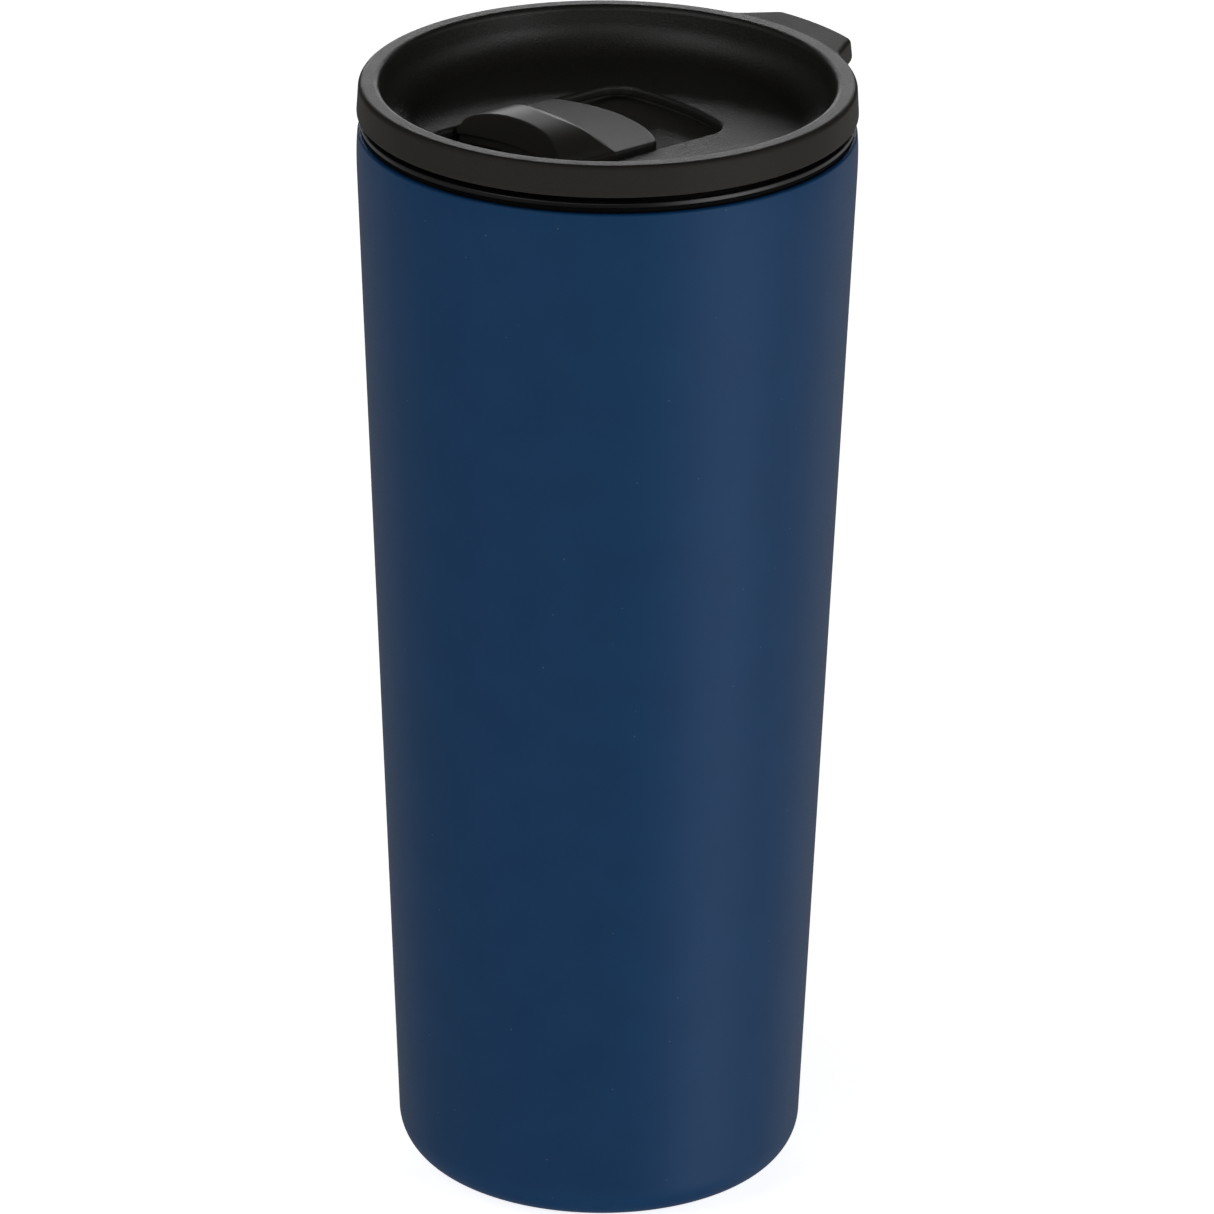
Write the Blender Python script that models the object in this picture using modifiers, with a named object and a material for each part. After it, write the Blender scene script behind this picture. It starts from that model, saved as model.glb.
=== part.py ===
"""Insulated travel mug: a double-wall steel cup with a press-in lid and a slide closure.

The frame has +Z up, with the origin in the middle of the base. The drinking side of the lid
faces -Y and the lift tab faces +Y, so the slide closure opens towards +Y. Metres.
"""

import math

import bmesh
import bpy

MM = 0.001
GAP = 0.3 * MM                  # clearance between pieces that touch
WELD = 0.01 * MM                # merge distance of the modelling tools

# Steel cup
BODY_HEIGHT = 193.3 * MM        # top of the lip
TAPER_TOP_R = 43.5 * MM         # straight side, carried up to the top of the lip
TAPER_FOOT_R = 35.79 * MM       # straight side, where the bottom corner starts
TAPER_FOOT_Z = 8.27 * MM
CORNER_R = 8.0 * MM             # rounded bottom corner
SHEET = 0.5 * MM                # steel thickness of either wall
WALL_TOTAL = 4.5 * MM           # outer face to inner face
LIP_R = 43.1 * MM               # outside of the lip, drawn in a little from the straight side
LIP_ROUND = 0.9 * MM
SHOULDER_Z = 182.0 * MM         # where the side starts to draw in
DRAWN_Z = 190.0 * MM
DRAWN_IN = 0.1 * MM             # how far it has drawn in at that height
NECK_R = 40.8 * MM              # inside of the mouth, which takes the lid's plug
MOUTH_EDGE = 0.4 * MM
NECK_FOOT_Z = 179.3 * MM
NECK_CONE_Z = 175.5 * MM
LINER_FLOOR_Z = 13.0 * MM
LINER_CORNER_R = 9.0 * MM
FOOT_INNER_R = 24.6 * MM        # inside of the ring that the cup stands on

# Pieces in the base
BASE_TOP_Z = 2.0 * MM
BASE_SHEET = 0.8 * MM
DIMPLE_R = 6.0 * MM             # pocket round the pump-out hole
DIMPLE_SLANT = 1.2 * MM
PUMP_HOLE_R = 1.2 * MM
PAD_THICK = 0.9 * MM
PAD_EDGE = 0.2 * MM
BEAD_R = 2.8 * MM               # solder bead at its widest
BEAD_END_R = 2.2 * MM

# Vacuum space
GETTER_R = 4.0 * MM
GETTER_HIGH = 2.4 * MM
GETTER_EDGE = 0.3 * MM
GETTER_Y = 13.0 * MM
BRACKET_SHEET = 0.4 * MM
BRACKET_WIDTH = 5.0 * MM
BRACKET_FOOT = 4.0 * MM         # length of each welded foot
SHIELD_THICK = 0.15 * MM
SHIELD_LOW_Z = 24.0 * MM
SHIELD_HIGH_Z = 168.0 * MM

# Lid cover
RIM_TOP_Z = 201.85 * MM
BAND_LOW_Z = 196.33 * MM
BAND_LOW_R = 43.25 * MM
BAND_HIGH_R = 43.0 * MM
RIM_OUT_ROUND = 0.95 * MM
RIM_IN_ROUND = 1.1 * MM
BOWL_R = 39.3 * MM              # bowl wall just under the rim
BOWL_LOW_R = 38.5 * MM          # bowl wall where the cove starts
COVE_R = 5.4 * MM
FLOOR_Z = 194.1 * MM            # bowl floor
FLOOR_THICK = 1.7 * MM
PLUG_R = 38.4 * MM              # cover's own plug wall, outside
PLUG_WALL = 1.5 * MM
PLUG_LOW_Z = 188.4 * MM

# Lift tab on the rim
TAB_END_R = 48.7 * MM
TAB_HALF = 10.5 * MM
TAB_CORNER_R = 2.5 * MM
TAB_ROOT_R = 4.5 * MM
TAB_ROOT_X = 17.0 * MM
TAB_LOW_Z = 196.8 * MM
TAB_EDGE = 1.0 * MM

# Window in the bowl floor and the tray under it
WINDOW_HALF = 15.1 * MM
WINDOW_BACK_Y = 16.7 * MM
WINDOW_BACK_R = 62.0 * MM       # the back edge bows towards the tab
WINDOW_FRONT_R = 31.5 * MM
WINDOW_CORNER_R = 4.7 * MM
TRAY_FLOOR_Z = 191.1 * MM
TRAY_THICK = 1.8 * MM
TRAY_HALF = 18.3 * MM
TRAY_WALL = 1.6 * MM
TRAY_BACK_Y = 20.0 * MM
TRAY_BACK_R = 65.3 * MM
TRAY_FRONT_R = 34.5 * MM
TRAY_CORNER_R = 6.0 * MM
DRINK_HALF = 8.5 * MM           # drinking opening through the tray
DRINK_FRONT_Y = -16.2 * MM
DRINK_BACK_Y = -10.0 * MM
VENT_X = 11.6 * MM
VENT_R = 1.1 * MM

# Lid collar and gasket
FLANGE_R = 42.75 * MM
FLANGE_TOP_Z = 195.2 * MM
FLANGE_LOW_Z = 194.3 * MM
FLANGE_EDGE = 0.2 * MM
SEAT_R = 42.3 * MM              # step that rests over the cup's lip
SEAT_Z = BODY_HEIGHT + GAP
COLLAR_R = 39.9 * MM
COLLAR_LOW_R = 37.0 * MM        # inside, below the cover's plug wall
COLLAR_LOW_Z = 181.0 * MM
COLLAR_LEAD = 0.6 * MM          # how far the collar narrows below the gasket
GROOVE_R = 38.5 * MM
GROOVE_HIGH_Z = 187.4 * MM
GROOVE_LOW_Z = 182.6 * MM
LIP_SEAL_R = 40.5 * MM          # tips of the gasket's two lips
LIP_SEAL_ROOT_R = 39.7 * MM
SEAL_LIP = 1.2 * MM             # how far each lip's tip stands in from the gasket's end

# Slide closure
PLATE_HALF = 14.1 * MM
PLATE_TOP_Z = 194.98 * MM
PLATE_LOW_Z = TRAY_FLOOR_Z + GAP
PLATE_FRONT_Y = -22.2 * MM      # straight front, before the face is cut
PLATE_BACK_Y = 3.4 * MM
PLATE_BACK_R = 27.0 * MM        # arc of the leading edge
PLATE_CORNER_R = 2.4 * MM
RAIL_HALF = 16.2 * MM           # runs that hold the slider down, under the cover's edges
RAIL_FRONT_Y = -17.0 * MM
RAIL_BACK_Y = -2.0 * MM
FACE_AXIS_Y = -47.0 * MM        # upright axis of the slider's hollow front face
FACE_R = 28.5 * MM
UNDERCUT_R = 29.1 * MM          # the face is set back below this height
UNDERCUT_Z = 193.25 * MM
HUMP_CREST_Z = 198.5 * MM
HUMP_FOOT_Z = 194.0 * MM
HUMP_HALF = 13.5 * MM
HUMP_POWER = 2.6                # of the arch, which is between an ellipse and a box
HUMP_BACK_AXIS_Y = -42.0 * MM   # upright axis of the hump's sloping back
HUMP_BACK_R = 35.0 * MM         # where the slope meets the plate
HUMP_TOP_R = 30.4 * MM          # where the slope starts at the crest
PAD_HALF = 13.0 * MM            # silicone pad under the slider
PAD_FRONT_Y = -16.9 * MM
PAD_BACK_Y = -9.3 * MM
PAD_TOP_Z = 192.3 * MM

RING_STEPS = 48                 # facets round the turned pieces
SMALL_STEPS = 24

parts = None
cutters = None


# Scene and helpers

def clear_scene():
    for obj in list(bpy.data.objects):
        bpy.data.objects.remove(obj, do_unlink=True)


def new_collection(name):
    collection = bpy.data.collections.new(name)
    bpy.context.scene.collection.children.link(collection)
    return collection


def material(name, colour, roughness, metallic=0.0):
    mat = bpy.data.materials.new(name)
    mat.use_nodes = True
    shader = mat.node_tree.nodes["Principled BSDF"]
    shader.inputs["Base Color"].default_value = (*colour, 1.0)
    shader.inputs["Roughness"].default_value = roughness
    shader.inputs["Metallic"].default_value = metallic
    return mat


def add_object(name, data, mat=None):
    """Put an object in the parts collection, or in the cutters if it has no material."""
    obj = bpy.data.objects.new(name, data)
    if mat is None:
        cutters.objects.link(obj)
        obj.hide_render = True
        obj.display_type = 'WIRE'
    else:
        parts.objects.link(obj)
        data.materials.append(mat)
    return obj


def arc(centre_r, centre_z, radius, start, end, count):
    """Points on a circle, from one angle to another in degrees."""
    points = []
    for i in range(count + 1):
        angle = math.radians(start + (end - start) * i / count)
        points.append((centre_r + radius * math.cos(angle), centre_z + radius * math.sin(angle)))
    return points


def turned(name, profile, mat=None, steps=RING_STEPS):
    """Turn a profile of (radius, height) round Z. It runs down its outer side."""
    on_axis = profile[0][0] == 0 and profile[-1][0] == 0
    edges = [(i, i + 1) for i in range(len(profile) - 1)]
    if not on_axis:
        edges.append((len(profile) - 1, 0))
    mesh = bpy.data.meshes.new(name)
    mesh.from_pydata([(r, 0.0, z) for r, z in profile], edges, [])
    obj = add_object(name, mesh, mat)
    screw = obj.modifiers.new("Turn", 'SCREW')
    screw.axis = 'Z'
    screw.angle = math.tau
    screw.steps = steps
    screw.render_steps = steps
    screw.use_merge_vertices = True
    screw.merge_threshold = WELD
    screw.use_smooth_shade = True
    return obj


def extruded(name, outline, low, high, mat=None):
    """Extrude a flat outline of (x, y) from one height to another, as a closed mesh."""
    curve = bpy.data.curves.new(name, 'CURVE')
    curve.dimensions = '2D'
    curve.fill_mode = 'BOTH'
    curve.extrude = (high - low) / 2
    spline = curve.splines.new('POLY')
    spline.points.add(len(outline) - 1)
    for point, (x, y) in zip(spline.points, outline):
        point.co = (x, y, 0.0, 1.0)
    spline.use_cyclic_u = True
    draft = bpy.data.objects.new(name + "_draft", curve)
    bpy.context.scene.collection.objects.link(draft)
    draft.location.z = (low + high) / 2
    bpy.context.view_layer.update()
    placed = draft.matrix_world.copy()
    graph = bpy.context.evaluated_depsgraph_get()
    mesh = bpy.data.meshes.new_from_object(draft.evaluated_get(graph))
    mesh.name = name
    bpy.data.objects.remove(draft, do_unlink=True)
    weld(mesh)
    obj = add_object(name, mesh, mat)
    obj.matrix_world = placed
    return obj


def weld(mesh):
    work = bmesh.new()
    work.from_mesh(mesh)
    bmesh.ops.remove_doubles(work, verts=work.verts, dist=WELD)
    bmesh.ops.recalc_face_normals(work, faces=work.faces)
    work.to_mesh(mesh)
    work.free()


def boolean(obj, other, operation):
    modifier = obj.modifiers.new(operation.title(), 'BOOLEAN')
    modifier.operation = operation
    modifier.solver = 'EXACT'
    modifier.object = other


def cut(obj, *others):
    for other in others:
        boolean(obj, other, 'DIFFERENCE')


def join(obj, *others):
    for other in others:
        boolean(obj, other, 'UNION')


def bevel(obj, width, segments=2):
    modifier = obj.modifiers.new("Edges", 'BEVEL')
    modifier.width = width
    modifier.segments = segments
    modifier.limit_method = 'ANGLE'
    modifier.angle_limit = math.radians(50)


def upright_cylinder(name, x, y, low, high, radius, steps=SMALL_STEPS):
    """A cutter whose axis is vertical."""
    mesh = bpy.data.meshes.new(name)
    work = bmesh.new()
    bmesh.ops.create_cone(work, cap_ends=True, segments=steps, radius1=radius,
                          radius2=radius, depth=high - low)
    work.to_mesh(mesh)
    work.free()
    obj = add_object(name, mesh)
    obj.location = (x, y, (low + high) / 2)
    return obj


def side_radius(height):
    """Outside radius of the cup's straight side."""
    share = (height - TAPER_FOOT_Z) / (BODY_HEIGHT - TAPER_FOOT_Z)
    return TAPER_FOOT_R + share * (TAPER_TOP_R - TAPER_FOOT_R)


def channel_outline(half, back, back_r, front, corner, count=4):
    """A flat outline: straight sides, a bowed back, a front arc about the lid's axis, and
    round corners. front is that arc's radius."""
    middle_x = half - corner
    front_y = -math.sqrt((front - corner) ** 2 - middle_x ** 2)
    front_turn = math.degrees(math.atan2(front_y, middle_x))
    bow_y = back - back_r
    back_y = bow_y + math.sqrt((back_r - corner) ** 2 - middle_x ** 2)
    back_turn = math.degrees(math.atan2(back_y - bow_y, middle_x))
    outline = arc(0.0, 0.0, front, -180 - front_turn, front_turn, 6)
    outline += arc(middle_x, front_y, corner, front_turn, 0, 2)[1:]
    outline += arc(middle_x, back_y, corner, 0, back_turn, count)
    outline += arc(0.0, bow_y, back_r, back_turn, 180 - back_turn, count)[1:]
    outline += arc(-middle_x, back_y, corner, 180 - back_turn, 180, count)[1:]
    outline += arc(-middle_x, front_y, corner, 180, 180 - front_turn, 2)
    return outline[:-1]


def slot_outline(half, low, high, count=6):
    """A flat outline with round ends towards -X and +X."""
    radius = (high - low) / 2
    middle = (high + low) / 2
    outline = arc(half - radius, middle, radius, -90, 90, count)
    outline += arc(radius - half, middle, radius, 90, 270, count)
    return outline


# Steel cup

def make_outer_shell(mat):
    """Coated outer wall, open at the bottom, where the base is welded in."""
    slope = math.degrees(math.atan2(TAPER_TOP_R - TAPER_FOOT_R, BODY_HEIGHT - TAPER_FOOT_Z))
    corner_r = side_radius(CORNER_R) - CORNER_R
    inner_corner = CORNER_R - SHEET
    neck_in = LIP_R - SHEET
    profile = [(LIP_R - 1.25 * LIP_ROUND, BODY_HEIGHT)]
    profile += arc(LIP_R - LIP_ROUND, BODY_HEIGHT - LIP_ROUND, LIP_ROUND, 90, 0, 3)
    profile += [(side_radius(DRAWN_Z) - DRAWN_IN, DRAWN_Z), (side_radius(SHOULDER_Z), SHOULDER_Z)]
    profile += arc(corner_r, CORNER_R, CORNER_R, -slope, -90, 6)
    profile += [(FOOT_INNER_R, 0.0), (FOOT_INNER_R, SHEET)]
    profile += arc(corner_r, CORNER_R, inner_corner, -90, -slope, 3)
    profile += [(side_radius(SHOULDER_Z) - SHEET, SHOULDER_Z),
                (neck_in, BODY_HEIGHT - 2.5 * LIP_ROUND),
                (LIP_R - 1.25 * LIP_ROUND, BODY_HEIGHT - 1.6 * LIP_ROUND)]
    return turned("outer_shell", profile, mat)


def make_inner_liner(mat):
    """Bare steel liner: cup, cone and wider neck that takes the lid."""
    lip_out = LIP_R - 1.25 * LIP_ROUND - GAP
    wall_in = side_radius(NECK_CONE_Z) - WALL_TOTAL
    foot_in = side_radius(LINER_FLOOR_Z + LINER_CORNER_R) - WALL_TOTAL
    profile = [(0.0, LINER_FLOOR_Z)]
    profile += arc(foot_in - LINER_CORNER_R, LINER_FLOOR_Z + LINER_CORNER_R,
                   LINER_CORNER_R, -90, 0, 4)
    profile += [(wall_in, NECK_CONE_Z), (NECK_R, NECK_FOOT_Z), (NECK_R, BODY_HEIGHT - MOUTH_EDGE),
                (NECK_R + MOUTH_EDGE, BODY_HEIGHT), (lip_out, BODY_HEIGHT),
                (lip_out, BODY_HEIGHT - 1.6 * LIP_ROUND), (NECK_R + SHEET, BODY_HEIGHT - 3 * MM),
                (NECK_R + SHEET, NECK_FOOT_Z - SHEET), (wall_in + SHEET, NECK_CONE_Z - SHEET)]
    profile += arc(foot_in - LINER_CORNER_R, LINER_FLOOR_Z + LINER_CORNER_R,
                   LINER_CORNER_R + SHEET, 0, -90, 4)
    profile += [(0.0, LINER_FLOOR_Z - SHEET)]
    return turned("inner_liner", profile, mat)


def make_outer_base(mat):
    """Pressed disc welded into the foot, with a dimple round the pump-out hole."""
    edge = FOOT_INNER_R - GAP
    low = BASE_TOP_Z - BASE_SHEET
    rise = BASE_SHEET
    profile = [(PUMP_HOLE_R, BASE_TOP_Z + rise), (DIMPLE_R, BASE_TOP_Z + rise),
               (DIMPLE_R + DIMPLE_SLANT, BASE_TOP_Z), (edge, BASE_TOP_Z), (edge, low),
               (DIMPLE_R + DIMPLE_SLANT / 2, low), (DIMPLE_R - DIMPLE_SLANT / 2, low + rise),
               (PUMP_HOLE_R, low + rise)]
    return turned("outer_base", profile, mat)


def make_seal_plug(mat):
    """Bead that closes the pump-out hole after the space is evacuated."""
    top = BASE_TOP_Z - GAP
    low = PAD_THICK + GAP
    middle = PAD_THICK + 0.65 * (top - PAD_THICK)
    profile = [(0.0, top), (BEAD_END_R, top), (BEAD_R, middle), (BEAD_END_R, low), (0.0, low)]
    return turned("seal_plug", profile, mat, SMALL_STEPS)


def make_base_pad(mat):
    """Non-slip silicone disc in the foot, flush with the steel."""
    edge = FOOT_INNER_R - GAP
    profile = [(0.0, PAD_THICK), (edge - PAD_EDGE, PAD_THICK), (edge, PAD_THICK - PAD_EDGE),
               (edge, PAD_EDGE), (edge - PAD_EDGE, 0.0), (0.0, 0.0)]
    return turned("base_pad", profile, mat)


def make_getter(mat):
    """Gas-absorbing pellet that keeps the vacuum, held under the liner's floor."""
    top = LINER_FLOOR_Z - SHEET - GAP
    low = top - GETTER_HIGH
    profile = [(0.0, top), (GETTER_R - GETTER_EDGE, top), (GETTER_R, top - GETTER_EDGE),
               (GETTER_R, low + GETTER_EDGE), (GETTER_R - GETTER_EDGE, low), (0.0, low)]
    obj = turned("getter", profile, mat, SMALL_STEPS)
    obj.location.y = GETTER_Y
    return obj


def make_getter_bracket(mat):
    """Strap spot-welded to the liner's floor at both ends, with the getter in its bend."""
    top = LINER_FLOOR_Z - SHEET - GAP
    inner = GETTER_R + GAP
    deep = GETTER_HIGH + GAP
    foot = inner + BRACKET_FOOT
    sheet = BRACKET_SHEET
    right = [(inner, 0.0), (foot, 0.0), (foot, -sheet),
             (inner + sheet, -sheet), (inner + sheet, -deep - sheet)]
    left = [(-x, z) for x, z in reversed(right)]
    outline = right + left + [(-inner, -deep), (inner, -deep)]
    obj = extruded("getter_bracket", outline, -BRACKET_WIDTH / 2, BRACKET_WIDTH / 2, mat)
    obj.rotation_euler = (math.pi / 2, 0.0, 0.0)
    obj.location = (0.0, GETTER_Y, top)
    return obj


def make_copper_shield(mat):
    """Copper wrap round the liner that reflects heat back."""
    low = side_radius(SHIELD_LOW_Z) - WALL_TOTAL + SHEET + GAP
    high = side_radius(SHIELD_HIGH_Z) - WALL_TOTAL + SHEET + GAP
    profile = [(high, SHIELD_HIGH_Z), (high + SHIELD_THICK, SHIELD_HIGH_Z),
               (low + SHIELD_THICK, SHIELD_LOW_Z), (low, SHIELD_LOW_Z)]
    return turned("copper_shield", profile, mat)


# Lid

def tab_outline():
    """The tab seen from above: a round-cornered end that flares into the rim."""
    corner = (TAB_HALF - TAB_CORNER_R,
              math.sqrt((TAB_END_R - TAB_CORNER_R) ** 2 - (TAB_HALF - TAB_CORNER_R) ** 2))
    root = (TAB_ROOT_X, math.sqrt((BAND_LOW_R + TAB_ROOT_R) ** 2 - TAB_ROOT_X ** 2))
    span = math.hypot(root[0] - corner[0], root[1] - corner[1])
    heading = math.degrees(math.atan2(root[1] - corner[1], root[0] - corner[0]))
    swing = math.degrees(math.acos((TAB_CORNER_R + TAB_ROOT_R) / span))
    flank = heading + swing
    end_half = math.degrees(math.atan2(corner[0], corner[1]))
    root_turn = math.degrees(math.atan2(-root[1], -root[0]))
    half = arc(0.0, 0.0, TAB_END_R, 90, 90 - end_half, 4)[:-1]
    half += arc(*corner, TAB_CORNER_R, 90 - end_half, flank, 3)
    half += arc(*root, TAB_ROOT_R, flank - 180, root_turn, 4)
    root_half = math.degrees(math.atan2(*half[-1]))
    inside = arc(0.0, 0.0, BOWL_R + 2 * RIM_IN_ROUND, 90 - root_half, 90 + root_half, 8)
    return half + inside + [(-x, y) for x, y in reversed(half[1:])]


def make_lid_cover(mat):
    """Band, rim, bowl, plug wall and lift tab, with the window for the slide closure."""
    out_z = RIM_TOP_Z - RIM_OUT_ROUND
    plug_in = PLUG_R - PLUG_WALL
    profile = [(0.0, FLOOR_Z)]
    profile += arc(BOWL_LOW_R - COVE_R, FLOOR_Z + COVE_R, COVE_R, -90, 0, 3)
    profile += arc(BOWL_R + RIM_IN_ROUND, RIM_TOP_Z - RIM_IN_ROUND, RIM_IN_ROUND, 180, 90, 2)
    profile += arc(BAND_HIGH_R - RIM_OUT_ROUND, out_z, RIM_OUT_ROUND, 90, 0, 2)
    profile += [(BAND_LOW_R, BAND_LOW_Z), (PLUG_R, BAND_LOW_Z), (PLUG_R, PLUG_LOW_Z),
                (plug_in, PLUG_LOW_Z), (plug_in, FLOOR_Z - FLOOR_THICK),
                (0.0, FLOOR_Z - FLOOR_THICK)]
    cover = turned("lid_cover", profile, mat)
    tab = extruded("tab_add", tab_outline(), TAB_LOW_Z, RIM_TOP_Z)
    bevel(tab, TAB_EDGE)
    opening = channel_outline(WINDOW_HALF, WINDOW_BACK_Y, WINDOW_BACK_R, WINDOW_FRONT_R,
                              WINDOW_CORNER_R)
    window = extruded("window_cut", opening, FLOOR_Z - 3 * FLOOR_THICK, FLOOR_Z + FLOOR_THICK)
    join(cover, tab)
    cut(cover, window)
    return cover


def make_lid_tray(mat):
    """Tray under the window: the slider runs in it, over the drinking opening and vents."""
    top = FLOOR_Z - FLOOR_THICK - GAP
    low = TRAY_FLOOR_Z - TRAY_THICK
    outside = channel_outline(TRAY_HALF, TRAY_BACK_Y, TRAY_BACK_R, TRAY_FRONT_R, TRAY_CORNER_R)
    inside = channel_outline(TRAY_HALF - TRAY_WALL, TRAY_BACK_Y - TRAY_WALL,
                             TRAY_BACK_R - TRAY_WALL, TRAY_FRONT_R - TRAY_WALL,
                             TRAY_CORNER_R - TRAY_WALL)
    tray = extruded("lid_tray", outside, low, top, mat)
    pocket = extruded("pocket_cut", inside, TRAY_FLOOR_Z, top + MM)
    drink = extruded("drink_cut", slot_outline(DRINK_HALF, DRINK_FRONT_Y, DRINK_BACK_Y),
                     low - MM, TRAY_FLOOR_Z + MM)
    cut(tray, pocket, drink)
    for side, x in (("left", -VENT_X), ("right", VENT_X)):
        cut(tray, upright_cylinder(f"vent_cut_{side}", x, (DRINK_FRONT_Y + DRINK_BACK_Y) / 2,
                                   low - MM, TRAY_FLOOR_Z + MM, VENT_R, 12))
    return tray


def make_lid_collar(mat):
    """Ring under the cover: visible flange, seat over the cup's lip, and gasket groove."""
    upper_in = PLUG_R + GAP
    ledge = PLUG_LOW_Z - GAP
    profile = [(upper_in, FLANGE_TOP_Z), (FLANGE_R - FLANGE_EDGE, FLANGE_TOP_Z),
               (FLANGE_R, FLANGE_TOP_Z - FLANGE_EDGE), (FLANGE_R, FLANGE_LOW_Z),
               (SEAT_R, FLANGE_LOW_Z), (SEAT_R, SEAT_Z), (COLLAR_R, SEAT_Z),
               (COLLAR_R, GROOVE_HIGH_Z), (GROOVE_R, GROOVE_HIGH_Z), (GROOVE_R, GROOVE_LOW_Z),
               (COLLAR_R, GROOVE_LOW_Z), (COLLAR_R - COLLAR_LEAD, COLLAR_LOW_Z),
               (COLLAR_LOW_R, COLLAR_LOW_Z), (COLLAR_LOW_R, ledge), (upper_in, ledge)]
    return turned("lid_collar", profile, mat)


def make_lid_gasket(mat):
    """Silicone ring with two lips that press on the inside of the mouth."""
    root = GROOVE_R + GAP
    high = GROOVE_HIGH_Z - GAP
    low = GROOVE_LOW_Z + GAP
    middle = (high + low) / 2
    profile = [(root, high), (LIP_SEAL_ROOT_R, high), (LIP_SEAL_R, high - SEAL_LIP),
               (LIP_SEAL_ROOT_R, middle), (LIP_SEAL_R, low + SEAL_LIP), (LIP_SEAL_ROOT_R, low),
               (root, low)]
    return turned("lid_gasket", profile, mat)


# Slide closure

def plate_outline():
    """The plate seen from above: a crowned leading edge and a straight front."""
    half = PLATE_HALF
    corner = PLATE_CORNER_R
    back_mid = PLATE_BACK_Y - PLATE_BACK_R
    centre_x = half - corner
    centre_y = back_mid + math.sqrt((PLATE_BACK_R - corner) ** 2 - centre_x ** 2)
    tilt = math.degrees(math.atan2(centre_x, centre_y - back_mid))
    outline = [(-half, PLATE_FRONT_Y), (half, PLATE_FRONT_Y)]
    outline += arc(centre_x, centre_y, corner, 0, 90 - tilt, 2)
    outline += arc(0.0, back_mid, PLATE_BACK_R, 90 - tilt, 90 + tilt, 8)[1:-1]
    outline += arc(-centre_x, centre_y, corner, 90 + tilt, 180, 2)
    return outline


def hump_arch(count=24):
    """The hump seen from the front: (x, height above its foot), with full, round shoulders."""
    points = []
    for i in range(count + 1):
        angle = math.pi * i / count
        across = abs(math.cos(angle)) ** (2 / HUMP_POWER)
        up = abs(math.sin(angle)) ** (2 / HUMP_POWER)
        points.append((math.copysign(HUMP_HALF * across, math.cos(angle)),
                       (HUMP_CREST_Z - HUMP_FOOT_Z) * up))
    return points


def make_hump():
    """Thumb hump: the arch, run back along Y and cut off by a slope about an upright axis."""
    back_y = HUMP_BACK_AXIS_Y + HUMP_BACK_R
    hump = extruded("hump_add", hump_arch(), 0.0, back_y - PLATE_FRONT_Y)
    hump.rotation_euler = (math.pi / 2, 0.0, 0.0)
    hump.location = (0.0, (back_y + PLATE_FRONT_Y) / 2, HUMP_FOOT_Z)
    slope = turned("hump_slope", [(0.0, RIM_TOP_Z), (HUMP_TOP_R, RIM_TOP_Z),
                                  (HUMP_TOP_R, HUMP_CREST_Z), (HUMP_BACK_R, PLATE_TOP_Z),
                                  (HUMP_BACK_R, PLATE_LOW_Z), (0.0, PLATE_LOW_Z)], steps=96)
    slope.location.y = HUMP_BACK_AXIS_Y
    boolean(hump, slope, 'INTERSECT')
    return hump


def make_slider(mat):
    """Plate, thumb hump and two side runs, hollowed below for the silicone pad."""
    slider = extruded("slider", plate_outline(), PLATE_LOW_Z, PLATE_TOP_Z, mat)
    face = upright_cylinder("face_cut", 0.0, FACE_AXIS_Y, PLATE_LOW_Z - MM, RIM_TOP_Z, FACE_R, 96)
    undercut = upright_cylinder("undercut", 0.0, FACE_AXIS_Y, PLATE_LOW_Z - MM, UNDERCUT_Z,
                                UNDERCUT_R, 96)
    join(slider, make_hump())
    cut(slider, face, undercut)
    for side in (-1, 1):
        outer = side * RAIL_HALF
        inner = side * (PLATE_HALF - MM)
        rail_mid = (RAIL_FRONT_Y + RAIL_BACK_Y) / 2
        rail = extruded(f"rail_add_{'left' if side < 0 else 'right'}",
                        [(inner, RAIL_FRONT_Y), (outer, RAIL_FRONT_Y + MM), (outer, rail_mid),
                         (outer, RAIL_BACK_Y - MM), (inner, RAIL_BACK_Y)],
                        PLATE_LOW_Z, FLOOR_Z - FLOOR_THICK - GAP)
        join(slider, rail)
    pocket = extruded("pad_cut",
                      slot_outline(PAD_HALF + GAP, PAD_FRONT_Y - GAP, PAD_BACK_Y + GAP),
                      PLATE_LOW_Z - MM, PAD_TOP_Z + GAP)
    cut(slider, pocket)
    return slider


def make_slider_seal(mat):
    """Silicone pad that covers the drinking opening and the vents."""
    outline = slot_outline(PAD_HALF, PAD_FRONT_Y, PAD_BACK_Y)
    return extruded("slider_seal", outline, PLATE_LOW_Z, PAD_TOP_Z, mat)


# The mug

def main():
    global parts, cutters
    clear_scene()
    parts = new_collection("insulated_travel_mug")
    cutters = new_collection("cutters")

    coat = material("blue_powder_coat", (0.012, 0.041, 0.105), 0.42)
    steel = material("brushed_steel", (0.56, 0.55, 0.53), 0.32, 1.0)
    copper = material("copper_foil", (0.72, 0.33, 0.20), 0.25, 1.0)
    getter_grey = material("getter_grey", (0.16, 0.16, 0.17), 0.7, 0.6)
    bead = material("solder_glass", (0.30, 0.28, 0.25), 0.2)
    plastic = material("black_plastic", (0.012, 0.012, 0.012), 0.42)
    slider_black = material("slider_plastic", (0.014, 0.014, 0.014), 0.38)
    silicone = material("black_silicone", (0.010, 0.010, 0.010), 0.6)
    clear_silicone = material("grey_silicone", (0.11, 0.11, 0.12), 0.55)

    make_outer_shell(coat)
    make_inner_liner(steel)
    make_outer_base(steel)
    make_seal_plug(bead)
    make_base_pad(silicone)
    make_getter(getter_grey)
    make_getter_bracket(steel)
    make_copper_shield(copper)

    make_lid_cover(plastic)
    make_lid_tray(plastic)
    make_lid_collar(plastic)
    make_lid_gasket(clear_silicone)

    make_slider(slider_black)
    make_slider_seal(clear_silicone)


main()
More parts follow.
